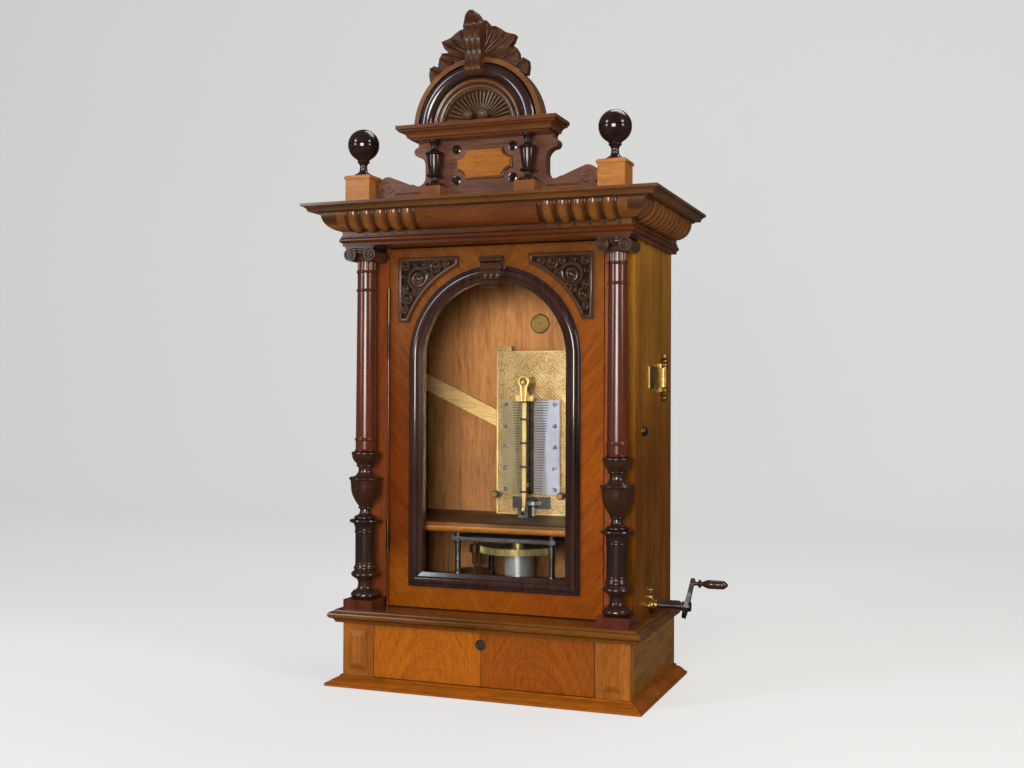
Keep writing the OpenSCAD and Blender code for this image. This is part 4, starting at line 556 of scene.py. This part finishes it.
# Spandrel ground. A thin near-black sheet glued to the door behind each fret paints the shade
# in the piercings, so that they read dark between the scrolls.
shade_sheet_wood = polished_wood("piercing_shade", (0.010, 0.005, 0.003), "x", spread=0.4, pores=0.3, gloss=0.6, coat=0.0)
ground_front, ground_thick, out_of_the_way = fret_high[1] - 0.0006, 0.0005, 10
grounds = []
for side in (-1, 1):
    bpy.ops.object.select_all(action="DESELECT")
    bpy.ops.mesh.primitive_circle_add(vertices=len(edge_line), radius=0.05, fill_type="NGON",
                                      rotation=(math.pi / 2, 0, 0))
    bpy.ops.object.transform_apply(location=True, rotation=True, scale=True)
    bpy.ops.object.mode_set(mode="EDIT")
    bpy.ops.transform.translate(value=(out_of_the_way, 0, out_of_the_way))
    corners = [v.co.copy() for v in bmesh.from_edit_mesh(bpy.context.edit_object.data).verts]
    for corner, (x, z) in zip(corners, edge_line):
        pick(lambda c: (c - corner).length < 0.0005)
        bpy.ops.transform.translate(value=(side * x - corner.x, ground_front - corner.y, z - corner.z))
    bpy.ops.mesh.select_all(action="SELECT")
    bpy.ops.mesh.extrude_region_move(TRANSFORM_OT_translate={"value": (0, ground_thick, 0)})
    bpy.ops.object.mode_set(mode="OBJECT")
    grounds.append(bpy.context.object)
finish_piece(joined(grounds), "spandrel_shade_sheet", shade_sheet_wood, "door")

# Keystone. A walnut block over the crown of the arch, with a stepped cap and a front
# gouged into three flutes that roll over at top and bottom. Glued and pinned.
dress(carved_wood, "door_keystone")


def carve_strip(path, halves, flutes, deep, back_y):
    """A fluted strip that follows a side profile, its back closed on a flat plane."""
    rows, cols, high_up = len(path) - 1, flutes * 6, 1000
    bpy.ops.object.select_all(action="DESELECT")
    bpy.ops.mesh.primitive_grid_add(x_subdivisions=cols, y_subdivisions=rows, size=2, rotation=(math.pi / 2, 0, 0))
    bpy.ops.object.transform_apply(location=True, rotation=True, scale=True)
    bpy.ops.object.mode_set(mode="EDIT")
    bpy.ops.mesh.select_all(action="SELECT")
    bpy.ops.transform.resize(value=(1, 1, rows / 2), center_override=(0, 0, 0))
    bpy.ops.transform.translate(value=(0, 0, high_up))
    for j in range(cols + 1):
        x = -1 + 2 * j / cols
        pick(lambda c: abs(c.x - x) < 0.3 / cols)
        bpy.ops.transform.translate(value=(0, deep * (0.5 + 0.5 * math.cos(2 * math.pi * flutes * j / cols)), 0))
    for k, ((y, z), half) in enumerate(zip(path, halves)):
        at = high_up - rows / 2 + k
        pick(lambda c: abs(c.z - at) < 0.3)
        bpy.ops.transform.resize(value=(half, 1, 1), center_override=(0, 0, 0))
        bpy.ops.transform.translate(value=(0, y, z - at))
    bpy.ops.mesh.select_all(action="SELECT")
    bpy.ops.mesh.extrude_region_move(TRANSFORM_OT_translate={"value": (0, 0, 0)})
    bpy.ops.transform.resize(value=(1, 0, 1), center_override=(0, back_y, 0))
    bpy.ops.object.mode_set(mode="OBJECT")
    return bpy.context.object


key_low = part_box("door_keystone")[0]
key_front, key_foot = key_low[1], key_low[2]
foot_half, head_more, key_deep = 0.0138, 0.0036, 0.009
key_side = (  # in from the front, height
    (0.006, 0.0), (0.002, 0.002), (0.0005, 0.006), (0.001, 0.010), (0.004, 0.014), (0.005, 0.020),
    (0.0035, 0.026), (0.0015, 0.031), (0.0003, 0.036), (0.0002, 0.040), (0.003, 0.043))
key_path = [(key_front + d, key_foot + h) for d, h in key_side]
key_halves = [foot_half + head_more * h / key_side[-1][1] for d, h in key_side]
key_flutes = carve_strip(key_path, key_halves, flutes=3, deep=0.0022, back_y=key_front + key_deep)
finish_piece(key_flutes, "keystone_flutes", carved_wood, "door")

# Hinges. Brass butts gone dark with age, screwed to door and case; a thin red-brown
# bead on the door's edge fills the line between them and turns with the door.
old_brass = worn_metal("aged_brass", (0.050, 0.026, 0.012), (0.120, 0.065, 0.028), 0.34)
dress(old_brass, "door_hinge_leaves", "case_hinge_leaves")
hinge_low, hinge_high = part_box("case_hinge_leaves")
knuckle_r, hinge_long, stop_short = 0.003, 0.056, 0.001
hinge_x, hinge_y = hinge_high[0] - knuckle_r, hinge_low[1] + knuckle_r
door_low, door_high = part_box("door_frame")
edge_runs = ((door_low[2] + stop_short, hinge_low[2] - stop_short),
             (hinge_low[2] + hinge_long + stop_short, hinge_high[2] - hinge_long - stop_short),
             (hinge_high[2] + stop_short, door_high[2] - stop_short))
edge_lines = [[(hinge_x, low + (high - low) * k / 4, 1.0) for k in range(5)] for low, high in edge_runs]
edge_wood = polished_wood("edge_walnut", (0.085, 0.022, 0.010), "z", spread=0.3, gloss=0.2, coat=0.7)
edge_bead = lay_bead(edge_lines, thick=0.0023, flat=1.0, front_y=hinge_y)
finish_piece(edge_bead, "door_edge_bead", edge_wood, "door")

# Columns. Turned walnut: the turnings up to the vase are stained almost black and
# polished, the shaft and square block dark red. Dowelled into block and capital.
black_tone, red_tone = (0.017, 0.0075, 0.0050), (0.070, 0.0150, 0.0065)
turned_wood = polished_wood("stained_turning", black_tone, "z", spread=0.5, band=30, pores=0.15, gloss=0.14, coat=0.8)
block_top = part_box("columns")[0][2] + 0.016
foot_from, drum_from = block_top + 0.0005, block_top + 0.060
vase_from, shaft_from = block_top + 0.152, block_top + 0.246
column_wood = polished_wood("column_walnut", red_tone, "z", spread=0.4, band=30, pores=0.15, gloss=0.24, coat=0.65,
                            zones=[("Z", foot_from, (0.026, 0.010, 0.006)), ("Z", drum_from, black_tone),
                                   ("Z", vase_from, (0.030, 0.011, 0.006)), ("Z", shaft_from, red_tone)])
dress(column_wood, "columns")

# Capitals. Two scrolls run from front to back over a turned cushion, each wound to an
# eye on its front end, with rolled bands between them. Walnut, glued over the shaft.
cap_wood = polished_wood("capital_walnut", (0.052, 0.022, 0.011), "z", spread=0.4, pores=0.15, gloss=0.22, coat=0.5,
                         recess_shade=0.7)
dress(cap_wood, "capitals")
scroll = carve_scroll(turns=2.0, thick=0.13, end_share=0.22)
cap_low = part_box("capitals")[0]
column_x, scroll_reach, scroll_r = 0.218, 0.018, 0.0106
scroll_z = cap_low[2] + scroll_r + 0.0003
carving = []
for other in (False, True):
    for side in (-1, 1):
        place = (column_x + side * scroll_reach, cap_low[1], scroll_z)
        carving.append(set_copy(scroll, place, (side * scroll_r, scroll_r, scroll_r), math.radians(-90 * side), other))
finish_piece(joined(carving, scroll), "capital_scrolls", cap_wood, "cabinet")
band_half, band_rise, band_sag, band_steps = 0.017, 0.0090, 0.0016, 6
bands = []
for side in (-1, 1):
    for step, share in ((0.0, 1.0), (0.0042, 0.7)):
        line = []
        for x in [band_half * (k / band_steps - 1) for k in range(2 * band_steps + 1)]:
            sag = band_sag * math.cos(x / band_half * math.pi / 2)
            line.append((side * column_x + x, scroll_z + band_rise - step - sag, share))
        bands.append(line)
band_bead = lay_bead(bands, thick=0.0016, flat=1.0, front_y=cap_low[1] + 0.0012)
finish_piece(band_bead, "capital_bands", cap_wood, "cabinet")

# Cornice. Red-brown walnut: bed moulding, a frieze carved with gadroons each side of a
# bare tablet, and the crown. Glued up in layers and screwed down on the case.
lobe_tone, tablet_tone, tablet_line = (0.150, 0.052, 0.0100), (0.105, 0.030, 0.0065), 0.1055
crown_wood = polished_wood("crown_walnut", (0.098, 0.037, 0.0100), "x", spread=0.3, gloss=0.22, coat=0.5, recess_shade=0.5)
frieze_wood = polished_wood("frieze_walnut", lobe_tone, "x", spread=0.25, gloss=0.24, coat=0.5, recess_shade=0.8,
                            zones=[("X", -tablet_line, tablet_tone), ("X", tablet_line, lobe_tone)])
bed_wood = polished_wood("bed_walnut", (0.072, 0.017, 0.0025), "x", spread=0.3, gloss=0.22, coat=0.4, recess_shade=0.5)
dress(crown_wood, "crown_moulding")
dress(frieze_wood, "gadroon_frieze")
dress(bed_wood, "bed_moulding")

# Gadroon shade. Painted shade darkens the hollows between the frieze's lobes, which stand
# one pitch apart: on the front from the tablet outwards, on the sides from front to back.


def shaded_over(material, where, shade_tone):
    """Lays painted shade over a finish, as strongly as the socket says."""
    skin = material.node_tree.nodes["Principled BSDF"]
    finish = skin.inputs["Base Color"].links[0].from_socket
    material.node_tree.links.new(mixed(material.node_tree, where, finish, shade_tone), skin.inputs["Base Color"])


lobe_pitch, tablet_half, lobes_end, ovolo_r = 0.0245, 0.107, 0.2295, 0.032
first_hollow, front_part, margin = 0.113, -0.05, 0.002
side_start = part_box("gadroon_frieze")[1][0] - ovolo_r
tree = frieze_wood.node_tree
spot = tree.nodes.new("ShaderNodeSeparateXYZ")
tree.links.new(tree.nodes.new("ShaderNodeTexCoord").outputs["Object"], spot.inputs[0])
across = reckon(tree, "ABSOLUTE", spot.outputs["X"])
on_side = reckon(tree, "GREATER_THAN", across, side_start)
on_front = reckon(tree, "MULTIPLY", reckon(tree, "GREATER_THAN", across, tablet_half - margin),
                  reckon(tree, "LESS_THAN", across, lobes_end + margin))
on_front = reckon(tree, "MULTIPLY", on_front, reckon(tree, "LESS_THAN", spot.outputs["Y"], front_part))
from_front = reckon(tree, "PINGPONG", reckon(tree, "SUBTRACT", across, tablet_half), lobe_pitch / 2)
from_side = reckon(tree, "PINGPONG", reckon(tree, "ADD", spot.outputs["Y"], first_hollow), lobe_pitch / 2)
to_hollow = reckon(tree, "ADD", reckon(tree, "MULTIPLY", from_side, on_side),
                   reckon(tree, "MULTIPLY", from_front, reckon(tree, "SUBTRACT", 1.0, on_side)))
depth = reckon(tree, "MULTIPLY", scaled(tree, to_hollow, (0.0012, 0.0060), (0.75, 0.0)),
               reckon(tree, "MAXIMUM", on_side, on_front))
shaded_over(frieze_wood, depth, (0.016, 0.006, 0.003))

# Pedestals, finials and gallery. Pale walnut blocks carry black turned balls on dowels;
# the fretted board between them, pegged to the crown, has a raised tablet, black buttons
# and balusters on brown blocks.
pale_walnut = polished_wood("pale_walnut", (0.365, 0.141, 0.031), "x", spread=0.2, band=30)
gallery_walnut = polished_wood("gallery_walnut", (0.125, 0.053, 0.034), "x", spread=0.3, recess_shade=0.6)
plaque_walnut = polished_wood("plaque_walnut", (0.295, 0.100, 0.012), "x", spread=0.18, recess_shade=0.7)
shelf_wood = polished_wood("gallery_shelf", (0.110, 0.036, 0.010), "x", spread=0.3, gloss=0.22, coat=0.4, recess_shade=0.6)
gallery_low, baluster_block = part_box("gallery_board")[0], 0.0221
baluster_wood = polished_wood("baluster_walnut", (0.160, 0.058, 0.018), "z", spread=0.3, pores=0.15, gloss=0.20,
                              coat=0.4, zones=[("Z", gallery_low[2] + baluster_block, black_tone)])
dress(pale_walnut, "pedestals")
dress(gallery_walnut, "gallery_board")
dress(plaque_walnut, "gallery_plaque")
dress(shelf_wood, "gallery_cornice")
dress(baluster_wood, "balusters")
dress(turned_wood, "finials", "plaque_buttons")

# Gallery carving. Each low wing of the walnut board ends in a scroll cut as a spiral,
# and a thin bead is glued along the wing's foot.
scroll = carve_scroll(turns=2.2, thick=0.10, end_share=0.2)
wing_x, wing_z, wing_r = 0.1725, gallery_low[2] + 0.030, 0.0135
carving = [set_copy(scroll, (wing_x, gallery_low[1], wing_z), (wing_r, wing_r, wing_r), math.radians(160), other)
           for other in (False, True)]
finish_piece(joined(carving, scroll), "wing_scrolls", shelf_wood, "cabinet")
bead_from, bead_run, bead_z = 0.106, 0.052, gallery_low[2] + 0.0175
foot_beads = [[(side * (bead_from + bead_run * k / 6), bead_z, 1.0) for k in range(7)] for side in (-1, 1)]
wing_bead = lay_bead(foot_beads, thick=0.0016, flat=1.0, front_y=gallery_low[1])
finish_piece(wing_bead, "wing_beads", shelf_wood, "cabinet")

# Tablet bead. A dark-stained walnut bead is let in round the raised tablet and follows
# its four hollow corners.
tablet_low, tablet_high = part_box("gallery_plaque")
tablet_x, tablet_z = tablet_high[0], 0.5 * (tablet_high[2] - tablet_low[2])
tablet_mid = 0.5 * (tablet_high[2] + tablet_low[2])
hollow_r, hollow_out, hollow_steps = 0.0195, 0.0035, 8
bite = math.sqrt(hollow_r ** 2 - hollow_out ** 2)
first_a, last_a = math.atan2(-hollow_out, -bite), math.atan2(-bite, -hollow_out)
hollow = []
for k in range(hollow_steps + 1):
    a = first_a + (last_a - first_a) * k / hollow_steps
    hollow.append((tablet_x + hollow_out + hollow_r * math.cos(a), tablet_z + hollow_out + hollow_r * math.sin(a)))
quarter = hollow + [(x, -z) for x, z in reversed(hollow)]
outline = [(x, tablet_mid + z, 1.0) for x, z in quarter + [(-x, -z) for x, z in quarter]]
tablet_bead = lay_bead([outline], thick=0.0016, flat=1.0, front_y=gallery_low[1] - 0.0004, closed=True)
finish_piece(tablet_bead, "tablet_bead", cap_wood, "cabinet")

# Pediment. A moulded half-round arch with a carved shell glued in it, under a crest of
# carved leaves; a leaf-tipped console laps from the crest down over the arch. All walnut.
pediment_wood = polished_wood("pediment_walnut", (0.060, 0.022, 0.009), "x", spread=0.4, band=30, pores=0.2,
                              gloss=0.32, coat=0.25, recess_shade=0.6)
shell_tone = (0.085, 0.040, 0.016)
shell_wood = polished_wood("shell_walnut", shell_tone, "x", spread=0.3, pores=0.2, gloss=0.26, coat=0.3,
                           recess_shade=0.75)
arch_centre, arch_back = (0, 0.9055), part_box("pediment_arch")[1][1] - 0.0005
shell_edge, round_from, outer_fillet = 0.0665, 0.0765, 0.1005
arch_walnut = polished_wood("arch_walnut", shell_tone, "x", spread=0.3, gloss=0.18, coat=0.7, recess_shade=0.6, mirror=0.3,
                            zones=[(arch_centre, shell_edge, (0.110, 0.038, 0.010)),
                                   (arch_centre, round_from, (0.026, 0.011, 0.009)),
                                   (arch_centre, outer_fillet, (0.150, 0.058, 0.014)), ("Y", arch_back, shell_tone)])
dress(arch_walnut, "pediment_arch")
dress(shell_wood, "shell")
dress(pediment_wood, "leaf_crest", "pediment_console")


def carve_leaf(rows=18, cols=8):
    """A lobed leaf of length 1 and half-width 1, hollowed each side of its vein."""
    bpy.ops.object.select_all(action="DESELECT")
    bpy.ops.mesh.primitive_grid_add(x_subdivisions=cols, y_subdivisions=rows, size=2, rotation=(math.pi / 2, 0, 0))
    bpy.ops.object.transform_apply(location=True, rotation=True, scale=True)
    bpy.ops.object.mode_set(mode="EDIT")
    bpy.ops.mesh.select_all(action="SELECT")
    bpy.ops.transform.translate(value=(0, 0, 1))
    bpy.ops.transform.resize(value=(1, 1, 0.5), center_override=(0, 0, 0))
    for j in range(cols + 1):
        x = abs(-1 + 2 * j / cols)
        pick(lambda c: abs(abs(c.x) - x) < 0.3 / cols)
        if j <= cols / 2:
            bpy.ops.transform.translate(value=(0, -(0.35 + 0.65 * math.sin(math.pi * min(x * 1.25, 1))), 0))
    for k in range(rows + 1):
        z = k / rows
        pick(lambda c: abs(c.z - z) < 0.3 / rows)
        wide = (0.45 + 0.55 * math.sin(math.pi * min(z * 1.5, 0.5 + z * 0.5))) * (1 - z ** 5)
        wide *= 0.84 + 0.16 * abs(math.sin(3.2 * math.pi * z))
        bpy.ops.transform.resize(value=(max(wide, 0.05), 1 - 0.5 * z, 1), center_override=(0, 0, z))
        bpy.ops.transform.translate(value=(0, -0.6 * z * z, 0))
    bpy.ops.mesh.select_all(action="SELECT")
    bpy.ops.mesh.extrude_region_move(TRANSFORM_OT_translate={"value": (0, 0, 0)})
    bpy.ops.transform.resize(value=(1, 0, 1), center_override=(0, 0.2, 0))
    bpy.ops.object.mode_set(mode="OBJECT")
    return bpy.context.object


leaf = carve_leaf()
crest_y, leaf_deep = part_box("leaf_crest")[0][1], 0.0045
crest_leaves = (  # beside the middle, height, length, half-width, lean; in millimetres and degrees
    (11, 1030, 41, 7, 6), (13, 1024, 39, 8, 26), (14, 1020, 43, 8, 48.7), (16, 1018, 53, 8, 60),
    (24, 1014, 40, 6.5, 73), (42, 1009, 26, 5.5, 70), (64, 994, 21, 6.5, 62))
carving = []
for other in (False, True):
    for x, z, length, half, lean in crest_leaves:
        place = (x / 1000, crest_y + 0.0005, z / 1000)
        carving.append(set_copy(leaf, place, (half / 1000, leaf_deep, length / 1000), math.radians(lean), other))
finish_piece(joined(carving, leaf), "crest_leaves", pediment_wood, "cabinet")

# Console. One leaf carved from a walnut block and glued on: it laps over the crown of the
# arch, bulges, and curls forward to a pointed tip; three flutes run down its face.
console_low, console_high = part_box("pediment_console")
leaf_back, leaf_foot = console_high[1] - 0.0110, console_low[2]
leaf_side = (  # out from the arch's face, height, half-width; in millimetres
    (2, 0, 11), (8, 0.8, 12.3), (14, 4, 13), (16, 8, 13.5), (15, 13, 13.5), (12.5, 20, 13.3), (11.5, 28, 13.2),
    (12.5, 36, 13.5), (16, 44, 14), (18.5, 51, 14.2), (19, 56, 13.6), (18, 62, 13), (15, 69, 14), (12.5, 75, 16.6),
    (13, 80, 15.4), (17, 85, 12.4), (20.6, 89, 9.8), (21.8, 92.5, 7.4), (20.5, 96.5, 4.6), (16, 99.3, 2.4),
    (9, 99.9, 1.0))
fine_side = []  # a smooth curve through the same points
for k in range(len(leaf_side) - 1):
    before, here, there = leaf_side[max(k - 1, 0)], leaf_side[k], leaf_side[k + 1]
    after = leaf_side[min(k + 2, len(leaf_side) - 1)]
    for t in (0, 0.25, 0.5, 0.75):
        fine_side.append([0.5 * (2 * b + (c - a) * t + (2 * a - 5 * b + 4 * c - d) * t * t
                                 + (3 * b - a - 3 * c + d) * t ** 3) for a, b, c, d in zip(before, here, there, after)])
console_path = [(leaf_back - d / 1000, leaf_foot + h / 1000) for d, h, half in fine_side]
console_halves = [half / 1000 for d, h, half in fine_side]
console_leaf = carve_strip(console_path, console_halves, flutes=3, deep=0.0016, back_y=console_high[1])
finish_piece(console_leaf, "console_leaf", pediment_wood, "cabinet")
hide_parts("pediment_console")

# Movement. The bed is cast iron, hammered all over and gold-painted, bolted to posts on
# the back; two steel combs, sawn into teeth, are screwed to it with blued screws.
comb_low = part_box("combs")[0]
gilt = worn_metal("gold_bronze", (0.28, 0.174, 0.058), (0.40, 0.272, 0.115), 0.40, metallic=0.5, hammer=0.8)
smooth_gilt = worn_metal("smooth_gilt", (0.52, 0.33, 0.10), (0.74, 0.52, 0.20), 0.30, metallic=0.7)
bright_steel = worn_metal("bright_steel", (0.34, 0.34, 0.35), (0.48, 0.48, 0.50), 0.30, metallic=0.7)
dark_steel = worn_metal("dark_steel", (0.085, 0.082, 0.074), (0.190, 0.185, 0.170), 0.24)
blued = worn_metal("blued_steel", (0.150, 0.165, 0.210), (0.300, 0.320, 0.390), 0.26, metallic=0.8)
comb_steel = worn_metal("comb_steel", (0.27, 0.22, 0.12), (0.34, 0.28, 0.16), 0.32, metallic=0.5,
                        zones=[("X", 0.0, (0.29, 0.29, 0.35), (0.38, 0.38, 0.44))])
# Painted shade darkens the saw cuts, out to the roots of the teeth, which are longer at the top.
slit_pitch, slit_share, slit_dark, root_foot, root_lean = 0.0046, 0.36, 0.85, 0.0215, 0.075
tree = comb_steel.node_tree
spot = tree.nodes.new("ShaderNodeSeparateXYZ")
tree.links.new(tree.nodes.new("ShaderNodeTexCoord").outputs["Object"], spot.inputs[0])
up = reckon(tree, "SUBTRACT", spot.outputs["Z"], comb_low[2])
in_slit = reckon(tree, "LESS_THAN", reckon(tree, "FRACT", reckon(tree, "MULTIPLY", up, 1 / slit_pitch)), slit_share)
root = reckon(tree, "ADD", reckon(tree, "MULTIPLY", up, root_lean), root_foot)
in_tooth = reckon(tree, "LESS_THAN", reckon(tree, "ABSOLUTE", spot.outputs["X"]), root)
slit = reckon(tree, "MULTIPLY", reckon(tree, "MULTIPLY", in_slit, in_tooth), slit_dark)
shaded_over(comb_steel, slit, (0.045, 0.038, 0.032))
dress(gilt, "bedplate")
dress(smooth_gilt, "pressure_bar", "disc_spindle")
dress(comb_steel, "combs")
dress(blued, "comb_screws")
dress(bright_steel, "drive_shaft", "barrel_arbor")
dress(dark_steel, "motor_pillars")
dress(black_iron, "bed_posts", "star_wheels", "bar_rollers", "bar_hinge_block",
      "guide_roller_left", "guide_roller_right", "drive_bracket", "motor_plates")

# Bed rim. The cast bed's edge is raised in a narrow bead, filed smooth and gilt like the
# rest; it is part of the casting.
bed_low, bed_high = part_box("bedplate")
rim_in, bed_tall, bed_front = 0.002, 0.290, 0.106
bed_half, bed_foot, bed_head = bed_high[0] - rim_in, bed_low[2] + rim_in, bed_low[2] + bed_tall
rim = [(-bed_half, bed_foot, 1), (bed_half, bed_foot, 1), (bed_half, bed_head, 1), (-bed_half, bed_head, 1)]
rim_bead = lay_bead([rim], thick=0.0016, flat=0.7, front_y=bed_front, closed=True)
finish_piece(rim_bead, "bed_rim", smooth_gilt, "cabinet")

# Bar clips. Five blackened iron clips, pinched over the gilt pressure bar, hold the
# rollers' rod to it and swing with it.
bar_low, bar_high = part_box("pressure_bar")
comb_long, clip_size, clip_bevel, clip_in = 0.166, (0.0136, 0.0076, 0.0034), 0.0011, 0.003
clips = []
for share in (0.04, 0.30, 0.55, 0.80, 0.985):
    place = (0, bar_low[1] + clip_in, comb_low[2] + share * comb_long)
    bpy.ops.object.select_all(action="DESELECT")
    bpy.ops.mesh.primitive_cube_add(size=1, location=place)
    bpy.ops.object.mode_set(mode="EDIT")
    bpy.ops.transform.resize(value=clip_size)
    bpy.ops.mesh.bevel(offset=clip_bevel, segments=2, affect="EDGES")
    bpy.ops.object.mode_set(mode="OBJECT")
    bpy.ops.object.transform_apply(location=True, rotation=True, scale=True)
    clips.append(bpy.context.object)
finish_piece(joined(clips), "bar_clips", black_iron, "pressure_bar")

# Motor. Blackened plates screwed to steel pillars; the great wheel is brass on a steel
# barrel, and the small wheels and fan are brass gone brown.
wheel_from = 0.2138
wheel_brass = worn_metal("wheel_metal", (0.30, 0.30, 0.29), (0.42, 0.42, 0.41), 0.30, metallic=0.7,
                         zones=[("Z", wheel_from, (0.24, 0.19, 0.07), (0.36, 0.29, 0.12))])
brass = worn_metal("dull_brass", (0.30, 0.185, 0.050), (0.50, 0.33, 0.105), 0.30)
dress(wheel_brass, "great_wheel")
dress(old_brass, "second_wheel", "governor_fan")
dress(brass, "star_bearings", "guide_studs", "case_brass")

# Bar head. The gilt pressure bar widens to a pear-shaped eye that fits over the spindle;
# its two limbs run down into the bar and are cast with it.
eye_r, eye_z, eye_half, eye_steps = 0.0088, bar_high[2] - 0.010, 13, 16
limb = ((0.0042, eye_z - 0.024), (0.0033, eye_z - 0.034))  # beside the middle, height
turns = [math.pi * (k - eye_half) / eye_steps for k in range(2 * eye_half + 1)]
eye = [(-x, z, 0.9) for x, z in reversed(limb)]
eye += [(eye_r * math.sin(a), eye_z + eye_r * math.cos(a), 1.0) for a in turns]
eye += [(x, z, 0.9) for x, z in limb]
eye_bead = lay_bead([eye], thick=0.0027, flat=0.8, front_y=bar_low[1])
finish_piece(eye_bead, "bar_eye", smooth_gilt, "pressure_bar")

# Side lock. A small domed cover of blackened iron hangs over the keyhole on the right
# side, on one pin in the case.
lock_r, lock_bulge, lock_place = 0.0085, 0.62, (0.2412, -0.034, 0.424)
bpy.ops.object.select_all(action="DESELECT")
bpy.ops.mesh.primitive_uv_sphere_add(segments=24, ring_count=12, radius=lock_r, location=(0, 0, 0))
bpy.ops.object.mode_set(mode="EDIT")
pick(lambda c: c.x < 0)
bpy.ops.transform.resize(value=(0, 1, 1), center_override=(0, 0, 0))
bpy.ops.mesh.select_all(action="SELECT")
bpy.ops.mesh.remove_doubles(threshold=0.00005)
bpy.ops.transform.resize(value=(lock_bulge, 1, 1), center_override=(0, 0, 0))
bpy.ops.transform.translate(value=lock_place)
bpy.ops.object.mode_set(mode="OBJECT")
finish_piece(bpy.context.object, "side_lock_cover", black_iron, "cabinet")

# Winding crank. A blackened iron crank turns in the brass bush on the right side; its
# dark turned grip spins on a pin.
dress(black_iron, "winding_crank")
grip_wood = polished_wood("grip_wood", (0.040, 0.013, 0.008), "x", band=60, gloss=0.22, coat=0.7)
dress(grip_wood, "crank_grip")
